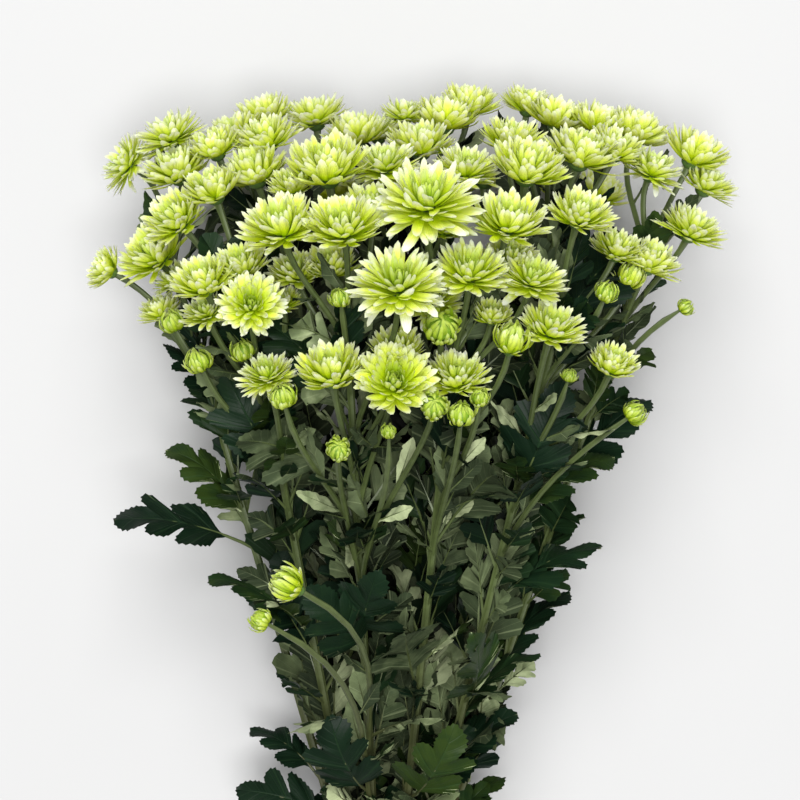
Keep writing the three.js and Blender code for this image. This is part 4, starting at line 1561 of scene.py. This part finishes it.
    def stalk(self, batch: MeshBatch, leaf: Leaf, small: float) -> None:
        """Adds the leaf stalk, which runs on under the blade as its midrib.

        Args:
            batch: Where it goes.
            leaf: The leaf.
            small: How thick it is, as a share of a full-sized leaf's.
        """
        steps = np.array(self.stations)
        widths = np.array(self.widths) * self.petiole_r * small
        sides = 6 if leaf.cut is Cut.FINE else 4
        tangent = leaf.rib.tangent(steps)
        side = unit(np.cross(tangent, leaf.faces))
        normal = np.cross(side, tangent)
        centres = leaf.rib.point(steps)
        centres[:, 2] = np.maximum(centres[:, 2], LEAF_CLEAR)
        turn = (2 * np.pi * np.arange(sides) / sides)[None, :, None]
        ring = np.cos(turn) * side[:, None] + np.sin(turn) * normal[:, None]
        points = centres[:, None] + ring * widths[:, None, None]
        points[..., 2] = np.maximum(points[..., 2], self.floor_clear)
        index = np.arange(len(steps) * sides).reshape(len(steps), sides)
        after = np.roll(index, -1, axis=1)
        faces = np.stack((index[:-1], after[:-1], after[1:], index[1:]), axis=-1).reshape(-1, 4)
        ends = [
            (end[0], end[i], end[i + 1], end[i + 2])
            for end in (index[0, ::-1], index[-1])
            for i in range(1, sides - 2, 2)
        ]
        faces = np.concatenate((faces, np.array(ends)))[:, ::-1]
        points = points.reshape(-1, 3)
        batch.add(points, faces, np.zeros((len(points), 2)), np.full(len(faces), 2), (0.5, 0.5))


# ---- finishes --------------------------------------------------------------


def linear(hex_colour: str) -> tuple[float, float, float, float]:
    """Turns an sRGB hex value into a colour for a shader socket.

    Args:
        hex_colour: The value, as #rrggbb.

    Returns:
        Linear red, green and blue, and an alpha of 1.
    """
    values = [int(hex_colour[i : i + 2], 16) / 255 for i in (1, 3, 5)]
    lit = [v / 12.92 if v <= 0.04045 else ((v + 0.055) / 1.055) ** 2.4 for v in values]
    return (*lit, 1.0)


def per_metre(size: float) -> float:
    """A pattern's scale on coordinates in metres, from the size of its cells in millimetres."""
    return 1 / (size * MM)


# Settings of a Mix node that lays one colour over another, and of one that tints a colour.
OVER = {"data_type": "RGBA", "blend_type": "MIX"}
TINT = {"data_type": "RGBA", "blend_type": "MULTIPLY"}
MIXED = 2  # the number of its colour output


def layers(share: object, under: object, over: object) -> dict[int, object]:
    """Inputs of a Mix node by number, because it has sockets of the same names for other data."""
    return {0: share, 6: under, 7: over}


@dataclass
class Skin:
    """A material in the making, to which nodes are added from its patterns to its surface."""

    name: str

    def __post_init__(self) -> None:
        """Starts the material with an empty node tree."""
        self.material = bpy.data.materials.new(self.name)
        self.material.use_nodes = True
        self.tree = self.material.node_tree
        self.tree.nodes.clear()

    def add(
        self,
        kind: str,
        inputs: dict | tuple = (),
        output: int | str = 0,
        stops: tuple[tuple[float, str], ...] = (),
        **settings: str,
    ) -> bpy.types.NodeSocket | None:
        """Adds a node with its settings and links.

        Args:
            kind: The node's type, without the word ShaderNode.
            inputs: Values or sockets for its inputs, in order or by name or number.
            output: Name or number of the output that is wanted.
            stops: Places and sRGB hex colours of a colour ramp.
            settings: Its attributes.

        Returns:
            The output, or None where the node has none.
        """
        node = self.tree.nodes.new(f"ShaderNode{kind}")
        for name, value in settings.items():
            setattr(node, name, value)
        given = dict(enumerate(inputs)) if isinstance(inputs, tuple) else inputs
        for name, value in given.items():
            if isinstance(value, bpy.types.NodeSocket):
                self.tree.links.new(value, node.inputs[name])
            else:
                node.inputs[name].default_value = value
        if stops:
            elements = node.color_ramp.elements
            while len(elements) < len(stops):
                elements.new(0.5)
            for element, (place, colour) in zip(elements, stops):
                element.position = place
                element.color = linear(colour)
        return node.outputs[output] if node.outputs else None

    def finish(self, inputs: dict) -> bpy.types.Material:
        """Ends the material with its principled surface.

        Args:
            inputs: Values or sockets for the surface's inputs, by name.

        Returns:
            The material.
        """
        self.add("OutputMaterial", {"Surface": self.add("BsdfPrincipled", inputs)})
        return self.material


@dataclass(frozen=True)
class PetalFinish:
    """Living petal skin: soft, lit from within, faintly ribbed along, and pale at the tip."""

    name: str = "chrysanthemum_petal_skin"
    old: tuple[Stop, ...] = ((0.0, "#a4c800"), (0.4, "#cbdf12"), (0.7, "#e2ec66"), (0.95, "#f3f5d2"))
    young: tuple[Stop, ...] = ((0.0, "#567f08"), (0.5, "#86ac12"), (1.0, "#bcd24a"))
    change: Span = (0.1, 0.72)  # where in a head the old colours start to turn, and are young
    chance: float = 0.28  # how far along a petal its colours are shifted by chance
    ribs: float = 5.0  # across a petal
    rib_depth: float = 0.3  # millimetres
    rib_relief: float = 0.4
    groove: str = "#cbe05a"
    groove_share: float = 0.2
    roughness: float = 0.52
    gloss: float = 0.25
    flesh: float = 0.5  # share of the light that goes through the petal's flesh
    flesh_depth: float = 3.0  # and how far, in millimetres

    def build(self) -> bpy.types.Material:
        """Runs the colour from foot to tip, and from the young heart to the outer petals.

        Returns:
            The material.
        """
        skin = Skin(self.name)
        uv = skin.add("UVMap")
        across = skin.add("SeparateXYZ", (uv,), "X")
        along = skin.add("SeparateXYZ", (uv,), "Y")
        place = skin.add("Attribute", output="Fac", attribute_name="place")
        shade = skin.add("Attribute", output="Fac", attribute_name="shade")
        shift = skin.add("Math", (shade, 0.5), operation="SUBTRACT")
        shift = skin.add("Math", (shift, self.chance), operation="MULTIPLY")
        shifted = skin.add("Math", (along, shift), operation="ADD")
        old = skin.add("ValToRGB", (shifted,), stops=self.old)
        young = skin.add("ValToRGB", (along,), stops=self.young)
        ages = {"Value": place, "From Min": self.change[0], "From Max": self.change[1]}
        youth = skin.add("MapRange", ages, interpolation_type="SMOOTHSTEP")
        colour = skin.add("Mix", layers(youth, old, young), MIXED, **OVER)
        wave = skin.add("Math", (across, self.ribs * 2 * math.pi), operation="MULTIPLY")
        wave = skin.add("Math", (wave,), operation="SINE")
        grooves = skin.add("Math", (wave, 0.5, 0.5), operation="MULTIPLY_ADD")
        tint = skin.add("Math", (grooves, self.groove_share), operation="MULTIPLY")
        colour = skin.add("Mix", layers(tint, colour, linear(self.groove)), MIXED, **TINT)
        relief = {"Strength": self.rib_relief, "Distance": self.rib_depth * MM, "Height": grooves}
        return skin.finish({
            "Base Color": colour,
            "Normal": skin.add("Bump", relief),
            "Roughness": self.roughness,
            "Specular IOR Level": self.gloss,
            "Subsurface Weight": self.flesh,
            "Subsurface Radius": (1.0, 1.0, 0.4),
            "Subsurface Scale": self.flesh_depth * MM,
        })


@dataclass(frozen=True)
class LeafFinish:
    """Leaf skin: waxy and dark above with sunk veins, or downy and pale with standing ones."""

    name: str
    shades: tuple[str, str, str, str]
    vein: str
    roughness: float
    standing: float  # how high the veins stand, or how deep they are sunk if below 0
    midrib: float = 0.035  # as a share of the blade's width
    mains: Span = (0.245, 0.62)  # the main veins' rows, as shares of the way to the tip
    main_vein: float = 0.012  # and their half width
    fine_veins: int = 17
    fine_rise: float = 2.2
    fine_floor: float = 0.55
    vein_share: float = 0.3
    blotch: float = 10.53  # millimetres
    blotch_share: float = 0.55
    levels: tuple[float, ...] = (0.0, 0.42, 0.78, 1.0)  # of the shades, from dark to pale
    grain: float = 1.613  # millimetres
    grain_share: float = 0.35
    depth: float = 0.6  # millimetres
    relief: float = 0.6
    gloss: float = 0.1
    # Painted shade: the light that would reach a leaf, little in the middle of the bunch and all
    # outside, darkens its colour.
    light: tuple[Stop, ...] = ((0.35, "#33382f"), (0.95, "#ffffff"))

    def veins(self, skin: Skin) -> bpy.types.NodeSocket:
        """Adds the veins, which follow the rows of the blade: a midrib, two mains and fine ones.

        Args:
            skin: The material in the making.

        Returns:
            The veins, from 0 between them to 1 on them.
        """
        uv = skin.add("UVMap")
        rows = skin.add("SeparateXYZ", (uv,), "Y")
        out = skin.add("Math", (skin.add("SeparateXYZ", (uv,), "X"), 0.5), operation="SUBTRACT")
        out = skin.add("Math", (out,), operation="ABSOLUTE")
        out = skin.add("Math", (out, self.midrib), operation="DIVIDE")
        lines = skin.add("Math", (out, 1.0, 0.2), operation="SMOOTH_MIN")
        for row in self.mains:
            apart = skin.add("Math", (rows, row), operation="SUBTRACT")
            apart = skin.add("Math", (apart,), operation="ABSOLUTE")
            apart = skin.add("Math", (apart, self.main_vein), operation="DIVIDE")
            lines = skin.add("Math", (lines, apart), operation="MINIMUM")
        fine = skin.add("Math", (rows, self.fine_veins * math.pi), operation="MULTIPLY")
        fine = skin.add("Math", (fine,), operation="SINE")
        fine = skin.add("Math", (fine,), operation="ABSOLUTE")
        fine = skin.add("Math", (fine, self.fine_rise, self.fine_floor), operation="MULTIPLY_ADD")
        lines = skin.add("Math", (lines, fine), operation="MINIMUM")
        lines = skin.add("Math", (lines, 1.0), operation="MINIMUM")
        return skin.add("Math", (1.0, lines), operation="SUBTRACT")

    def build(self) -> bpy.types.Material:
        """Mottles the skin between the veins, and paints shade on it in the middle of the bunch.

        Returns:
            The material.
        """
        skin = Skin(self.name)
        veins = self.veins(skin)
        place = skin.add("TexCoord", output="Object")
        blotch = {"Vector": place, "Scale": per_metre(self.blotch), "Detail": 4.0}
        grain = {"Vector": place, "Scale": per_metre(self.grain), "Detail": 3.0}
        mottle = skin.add("Math", (skin.add("TexNoise", blotch), 0.5), operation="SUBTRACT")
        mottle = skin.add("Math", (mottle, self.blotch_share), operation="MULTIPLY")
        shade = skin.add("Attribute", output="Fac", attribute_name="shade")
        mottle = skin.add("Math", (mottle, shade), operation="ADD")
        colour = skin.add("ValToRGB", (mottle,), stops=tuple(zip(self.levels, self.shades)))
        veined = skin.add("Math", (veins, self.vein_share), operation="MULTIPLY")
        colour = skin.add("Mix", layers(veined, colour, linear(self.vein)), MIXED, **OVER)
        # Painted shade: the colour is multiplied by a ramp that darkens leaves in the middle of the
        # bunch.
        exposure = skin.add("Attribute", output="Fac", attribute_name="place")
        light = skin.add("ValToRGB", (exposure,), stops=self.light)
        colour = skin.add("Mix", layers(1.0, colour, light), MIXED, **TINT)
        ridges = skin.add("Math", (veins, self.standing), operation="MULTIPLY")
        down = skin.add("TexNoise", grain)
        down = skin.add("Math", (down, self.grain_share), operation="MULTIPLY")
        height = skin.add("Math", (ridges, down), operation="ADD")
        relief = {"Strength": self.relief, "Distance": self.depth * MM, "Height": height}
        return skin.finish({
            "Base Color": colour,
            "Normal": skin.add("Bump", relief),
            "Roughness": self.roughness,
            "Specular IOR Level": self.gloss,
        })


@dataclass(frozen=True)
class PlainFinish:
    """A grown or moulded skin of two close shades with a fine grain."""

    name: str
    shades: tuple[str, str]
    roughness: float
    grain: float  # millimetres
    depth: float = 0.4  # millimetres
    relief: float = 0.4
    woody: str | None = None  # a stalk's colour near the cut

    def build(self, woody_y: float = 0.0, fresh_y: float = 0.0) -> bpy.types.Material:
        """Mixes the shades by a noise that also roughens the surface.

        Args:
            woody_y: Level of the frame, in metres, at which a stalk is all woody.
            fresh_y: Level of the frame, in metres, at which a stalk is all green.

        Returns:
            The material.
        """
        skin = Skin(self.name)
        place = skin.add("TexCoord", output="Object")
        grain = {"Vector": place, "Scale": per_metre(self.grain), "Detail": 4.0}
        noise = skin.add("TexNoise", grain)
        shades = [linear(shade) for shade in self.shades]
        colour = skin.add("Mix", layers(noise, *shades), MIXED, **OVER)
        if self.woody:
            level = skin.add("SeparateXYZ", (place,), "Y")
            levels = {"Value": level, "From Min": woody_y, "From Max": fresh_y}
            fresh = skin.add("MapRange", levels)
            colour = skin.add("Mix", layers(fresh, linear(self.woody), colour), MIXED, **OVER)
        relief = {"Strength": self.relief, "Distance": self.depth * MM, "Height": noise}
        return skin.finish({
            "Base Color": colour,
            "Normal": skin.add("Bump", relief),
            "Roughness": self.roughness,
        })


FRESH_Y = -120.0  # stalks are fresh above this level
# Stalks are dull green, with a slight sheen on their ribs, and woody towards the cut.
STALK = PlainFinish("chrysanthemum_stalk_skin", ("#35411e", "#566336"), 0.5, 6.25, woody="#3c3521")
# The core between the youngest petals shows only as a dull, deeper green.
HEART = PlainFinish("chrysanthemum_heart", ("#4d7210", "#86a81c"), 0.6, 1.111)
# The upper skin is waxy and dark, so that it shows its veins as fine sunk lines.
LEAF_TOP = LeafFinish(
    "waxy_leaf_upper_skin", ("#0a190f", "#112314", "#192b14", "#283814"), "#2b4427", 0.45, -0.8
)
# The underside is downy, matte and grey-green, with veins that stand out.
LEAF_UNDER = LeafFinish(
    "downy_leaf_underside", ("#1d2617", "#37422b", "#677350", "#aab48a"), "#98a47a", 0.7, 1.0
)
# Cups are firm and leathery, with a slight sheen.
CUP = PlainFinish("flower_cup_skin", ("#34501f", "#56712f"), 0.55, 2.0)
# The pith of a fresh cut is pale, dry and spongy.
PITH = PlainFinish("cut_stem_pith", ("#b9bd8a", "#d9d8b4"), 0.8, 0.833)
# Plain natural rubber is tan, with the dull sheen of a moulded band.
RUBBER = PlainFinish("natural_rubber_band", ("#8a6534", "#a37c44"), 0.55, 1.429)
# Matte paint on a board has only a trace of unevenness.
BOARD = PlainFinish("matte_pale_board", ("#b2b2b2", "#b6b6b6"), 0.9, 333.3)


# ---- sub-assemblies --------------------------------------------------------


@dataclass
class Palette:
    """The bunch's materials."""

    petal: bpy.types.Material
    heart: bpy.types.Material
    leaf_top: bpy.types.Material
    leaf_under: bpy.types.Material
    stalk: bpy.types.Material
    cup: bpy.types.Material
    pith: bpy.types.Material
    rubber: bpy.types.Material

    @staticmethod
    def build(shift: Vec) -> "Palette":
        """Builds each finish once.

        Args:
            shift: From layout to frame, in millimetres.

        Returns:
            The palette.
        """
        return Palette(
            petal=PetalFinish().build(),
            heart=HEART.build(),
            leaf_top=LEAF_TOP.build(),
            leaf_under=LEAF_UNDER.build(),
            stalk=STALK.build((TIE_Y + shift[1]) * MM, (FRESH_Y + shift[1]) * MM),
            cup=CUP.build(),
            pith=PITH.build(),
            rubber=RUBBER.build(),
        )


def dress(piece: bpy.types.Object, node: str) -> None:
    """Makes a piece ride on the bunch and stand for a solid, and logs its triangles.

    Args:
        piece: The piece.
        node: The solid that it stands for.
    """
    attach(piece, BODY)
    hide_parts(node)
    piece.data.calc_loop_triangles()
    log.info("%s stands for %s: %d triangles", piece.name, node, len(piece.data.loop_triangles))


@dataclass
class Blooms:
    """All flower heads that have solids of their own."""

    palette: Palette
    shift: Vec
    builder: HeadBuilder
    near: float = 0.52  # heads press on each other within this share of their joint width
    interleave: float = 1.4  # petals reach this much further than the plane between two heads

    def walls(self, head: Head, everyone: list[Head]) -> list[tuple[Vec, float]]:
        """The planes that a head presses against: those between it and its neighbours.

        Args:
            head: The head.
            everyone: All heads and buds.

        Returns:
            Each plane's normal and its distance from the head's core.
        """
        found = []
        for other in everyone:
            if other is head:
                continue
            apart = other.core - head.core
            room = float(np.linalg.norm(apart))
            if room < (head.width + other.width) * self.near:
                share = head.width / (head.width + other.width)
                found.append((apart / room, room * share * self.interleave))
        return found

    def build(self) -> None:
        """Builds one piece for each solid of flower heads."""
        everyone = [h for row in HEADS.values() for solid in row for h in solid]
        everyone += [*SIDE_HEADS, *BUDS]
        materials = [self.palette.petal, self.palette.heart]
        number = 0
        for row, solids in HEADS.items():
            for i, heads in enumerate(solids):
                batch = MeshBatch()
                for head in heads:
                    self.builder.add(batch, head, number, self.walls(head, everyone))
                    number += 1
                label = f"{row}_{i + 1:02d}"
                piece = batch.piece(f"petals_{label}", materials, self.shift)
                dress(piece, f"bloom_{label}")


@dataclass
class LeafyStem:
    """One cut stem with its side branches, cups, leaves, side heads and buds."""

    number: int
    palette: Palette
    shift: Vec
    builder: HeadBuilder
    cup: Template
    ribs: int = 7
    rib_depth: float = 0.09  # half the depth, as a share of the stalk's radius
    swelling: float = 1.08  # of a branch, just under its head
    bud_foot: float = 0.3  # of a bud, as CUP_R is of a head
    neck: float = 0.5  # radius of a branch's end, as a share of the foot's that it carries
    free_y: float = -340.0  # above this level the stalk's points are evenly spread
    stalk_points: int = 12
    branch_points: int = 10
    cut_slack: float = 1.0  # a face is part of the cut if it is this near to it
    cut_facing: float = 0.7  # and faces it at least so squarely
    cup_r: float = CUP_R * 1.06  # cups, as shares of the head's radius
    bud_cup_r: float = 0.42
    cup_high: float = 0.2
    cup_rise: float = 0.02
    bud_cup_rise: float = 0.14
    floor_clear: float = 0.2
    smooth: float = 50.0

    @property
    def stem(self) -> Stem:
        """The stem's own sizes."""
        return STEMS[self.number]

    def profile(self) -> bpy.types.Object:
        """Models the ribbed section that the stalks are drawn with.

        Returns:
            A fluted circle, one unit in radius.
        """
        select_only()
        bpy.ops.curve.primitive_bezier_circle_add(radius=1)
        guide = active_piece()
        guide.name = "stalk_section"
        guide.data.splines.clear()
        spline = guide.data.splines.new("POLY")
        count = 2 * self.ribs
        spline.points.add(count - 1)
        for i, point in enumerate(spline.points):
            radius = 1 if i % 2 == 0 else 1 - 2 * self.rib_depth
            angle = 2 * math.pi * i / count
            point.co = (radius * math.cos(angle), radius * math.sin(angle), 0, 1)
        spline.use_cyclic_u = True
        return guide

    def lines(self, carried: list[Head]) -> list[tuple[Vec, Vec]]:
        """The stalk and its side branches.

        Args:
            carried: The heads and buds on the stem.

        Returns:
            Centre lines and radii, in layout millimetres.
        """
        lower = (CUT_Y, TIE_Y - TIE_HALF, TIE_Y + TIE_HALF)
        upper = np.linspace(self.free_y, self.stem.top, self.stalk_points)
        levels = np.concatenate((lower, upper))
        radii = [mix(STEM_R, STEM_TIP_R, max(0.0, risen(y))) for y in levels]
        found = [(np.array([stem_point(self.stem, y) for y in levels]), np.array(radii))]
        for head in carried:
            share = np.linspace(0, 1, self.branch_points)
            foot = self.bud_foot if head.form is Form.BUD else CUP_R
            radius = np.full(len(share), BRANCH_R)
            radius[-2] = BRANCH_R * self.swelling
            radius[-1] = foot * head.radius * self.neck
            found.append((branch_line(head, self.stem).point(share), radius))
        return found

    def tubes(self, carried: list[Head]) -> bpy.types.Object:
        """The ribbed stalk and branches, with a pale end at the cut.

        Args:
            carried: The heads and buds on the stem.

        Returns:
            Their mesh.
        """
        section = self.profile()
        curve = bpy.data.curves.new("stalks", "CURVE")
        curve.dimensions = "3D"
        curve.bevel_mode = "OBJECT"
        curve.bevel_object = section
        curve.use_fill_caps = True
        for points, radii in self.lines(carried):
            spline = curve.splines.new("POLY")
            spline.points.add(len(points) - 1)
            for point, place, radius in zip(spline.points, (points + self.shift) * MM, radii):
                point.co = (*place, 1)
                point.radius = radius * MM
        tubes = bpy.data.objects.new(f"{self.stem.name}_stalks", curve)
        bpy.context.scene.collection.objects.link(tubes)
        select_only(tubes)
        bpy.ops.object.convert(target="MESH")
        piece = active_piece()
        bpy.data.objects.remove(section)
        piece.data.materials.clear()
        for material in (self.palette.stalk, self.palette.cup, self.palette.pith):
            piece.data.materials.append(material)
        cut = (CUT_Y + self.shift[1] + self.cut_slack) * MM
        for polygon in piece.data.polygons:
            end = polygon.center.y < cut and polygon.normal.y < -self.cut_facing
            polygon.material_index = 2 if end else 0
        for vertex in piece.data.vertices:
            vertex.co.z = max(vertex.co.z, 0.0)
        return piece

    def cups(self, carried: list[Head]) -> bpy.types.Object:
        """The green cups, each copied from one shape.

        Args:
            carried: The heads and buds on the stem.

        Returns:
            Their mesh.
        """
        batch = MeshBatch()
        finish = np.ones(len(self.cup.faces))
        for head in carried:
            bud = head.form is Form.BUD
            right, ahead = head.sides()
            wide = (self.bud_cup_r if bud else self.cup_r) * head.radius
            x, y, z = (self.cup.points * (wide, wide, self.cup_high * head.radius)).T
            z = z + (self.bud_cup_rise if bud else self.cup_rise) * head.radius
            points = head.base + x[:, None] * right + y[:, None] * ahead + z[:, None] * head.axis
            points[:, 2] = np.maximum(points[:, 2], self.floor_clear)
            batch.add(points, self.cup.faces, self.cup.uv, finish, (0.5, 0.5))
        return batch.piece("cups", [self.palette.stalk, self.palette.cup], self.shift)

    def stalks(self, carried: list[Head]) -> None:
        """Builds the stalk and branches, with the cups under the heads, as one piece.

        Args:
            carried: The heads and buds on the stem.
        """
        piece = self.tubes(carried)
        select_only(piece, self.cups(carried))
        bpy.ops.object.join()
        bpy.ops.object.mode_set(mode="EDIT")
        turn_faces_outwards()
        bpy.ops.object.shade_smooth_by_angle(angle=math.radians(self.smooth))
        dress(piece, self.stem.name)

    def leaves(self, leaves: list[Leaf]) -> None:
        """Builds the stem's leaves as one piece.

        Args:
            leaves: The leaves of the whole bunch.
        """
        batch = MeshBatch()
        builder = LeafBuilder()
        for leaf in leaves:
            if leaf.stem == self.number:
                builder.add(batch, leaf)
        materials = [self.palette.leaf_top, self.palette.leaf_under, self.palette.stalk]
        piece = batch.piece(f"{self.stem.name}_leaves", materials, self.shift)
        dress(piece, self.stem.name)

    def heads(self, label: str, slot: str, heads: tuple[Head, ...], first: int) -> None:
        """Builds the buds or the small heads that have grown on the stem, as one piece.

        Args:
            label: What the piece is called after the stem's name.
            slot: The material slot; it is not used.
            heads: The buds or small heads of the whole bunch.
            first: Number of the first of them.
        """
        batch = MeshBatch()
        for number, head in enumerate(heads, first):
            if stem_of(head) == self.number:
                self.builder.add(batch, head, number, [])
        if batch.count:
            materials = [self.palette.petal, self.palette.heart]
            piece = batch.piece(f"{self.stem.name}_{label}", materials, self.shift)
            dress(piece, self.stem.name)


@dataclass
class RubberBand:
    """The tie: a thin rubber band wound round the stems several times."""

    palette: Palette
    shift: Vec
    turns: int = 4
    turn_sides: int = 48
    strand_sides: int = 10
    strand_r: float = 0.8
    slant: float = 1.2  # degrees by which each winding is out of true

    def build(self) -> None:
        """Builds each winding as a ring, a little out of true with the next."""
        middle = (middle_line(TIE_Y) + self.shift) * MM
        rings = []
        for i in range(self.turns):
            offset = i - (self.turns - 1) / 2
            offset = offset * (BAND_WIDTH - 2 * self.strand_r) / (self.turns - 1)
            place = middle + vec(0, math.cos(TILT), math.sin(TILT)) * offset * MM
            select_only()
            bpy.ops.mesh.primitive_torus_add(
                major_segments=self.turn_sides,
                minor_segments=self.strand_sides,
                major_radius=(BAND_R + self.strand_r) * MM,
                minor_radius=self.strand_r * MM,
                location=tuple(place),
                rotation=(math.pi / 2 + TILT, math.radians(self.slant * (-1) ** i), 0),
            )
            rings.append(active_piece())
        select_only(*rings)
        bpy.ops.object.join()
        bpy.ops.object.transform_apply(location=True, rotation=True, scale=True)
        piece = active_piece()
        piece.name = "band_windings"
        bpy.ops.object.shade_smooth()
        piece.data.materials.clear()
        piece.data.materials.append(self.palette.rubber)
        dress(piece, "band")


@dataclass(frozen=True)
class Lamp:
    """A soft square lamp: its place and width in metres, and its power in watts."""

    name: str
    place: tuple[float, float, float]
    size: float
    power: float

    def hang(self, target: tuple[float, float, float]) -> None:
        """Adds the lamp, turned to its target.

        Args:
            target: The point that it looks at, in metres.
        """
        lamp = bpy.data.lights.new(self.name, "AREA")
        lamp.size = self.size
        lamp.energy = self.power
        holder = bpy.data.objects.new(self.name, lamp)
        holder.location = self.place
        aim = np.array(target) - np.array(self.place)
        down = math.atan2(math.hypot(aim[0], aim[1]), -aim[2])
        holder.rotation_euler = (down, 0, math.atan2(aim[1], aim[0]) - math.pi / 2)
        bpy.context.scene.collection.objects.link(holder)


@dataclass
class Studio:
    """Pale floor, soft light, and a camera straight above the bunch."""

    shift: Vec
    camera_height: float = 2170.0
    lens: float = 138.5
    sensor: float = 36.0
    floor_size: float = 14.0  # metres
    floor_z: float = -0.0002
    target: tuple[float, float, float] = (0.0, 0.1, 0.1)
    sky: str = "#f5f5f5"
    sky_strength: float = 0.28

    def build(self) -> None:
        """Adds the camera, the floor, the lamps and the surrounding light."""
        scene = bpy.context.scene
        camera = bpy.data.cameras.new("camera")
        camera.lens = self.lens
        camera.sensor_width = self.sensor
        eye = bpy.data.objects.new("camera", camera)
        eye.location = (self.shift + vec(0, 0, self.camera_height)) * MM
        scene.collection.objects.link(eye)
        scene.camera = eye
        select_only()
        bpy.ops.mesh.primitive_plane_add(size=self.floor_size, location=(0, 0, self.floor_z))
        floor = active_piece()
        floor.name = "floor"
        floor.data.materials.append(BOARD.build())
        Lamp("key", (-0.2, 2.8, 5.6), 3.4, 382).hang(self.target)
        Lamp("fill", (0.2, -0.7, 7.2), 2.6, 495).hang(self.target)
        world = bpy.data.worlds.new("studio")
        world.use_nodes = True
        light = world.node_tree.nodes["Background"]
        light.inputs["Color"].default_value = linear(self.sky)
        light.inputs["Strength"].default_value = self.sky_strength
        scene.world = world
        scene.view_settings.view_transform = "Standard"


def layout_shift() -> Vec:
    """Reads the place of the layout in the frame from where the tie lies there.

    Returns:
        From layout to frame, in millimetres.
    """
    low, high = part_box("band")
    centre = (np.array(low) + np.array(high)) / 2 / MM
    return centre - middle_line(TIE_Y)


def main() -> None:
    """Builds the studio and the bunch."""
    shift = layout_shift()
    log.info("layout to frame: %s mm", np.round(shift, 3))
    Studio(shift).build()
    palette = Palette.build(shift)
    builder = HeadBuilder()
    cup = CupShape().model()
    Blooms(palette, shift, builder).build()
    large = [head for row in HEADS.values() for solid in row for head in solid]
    owners = [(head, stem_of(head)) for head in [*large, *SIDE_HEADS, *BUDS]]
    leaves = all_leaves(owners)
    for number in range(len(STEMS)):
        stem = LeafyStem(number, palette, shift, builder, cup)
        stem.stalks([head for head, owner in owners if owner == number])
        stem.leaves(leaves)
        stem.heads("buds", "young_petals", BUDS, FIRST_BUD)
        stem.heads("side_heads", "petals", SIDE_HEADS, FIRST_SIDE_HEAD)
    RubberBand(palette, shift).build()


if __name__ == "__main__":
    main()
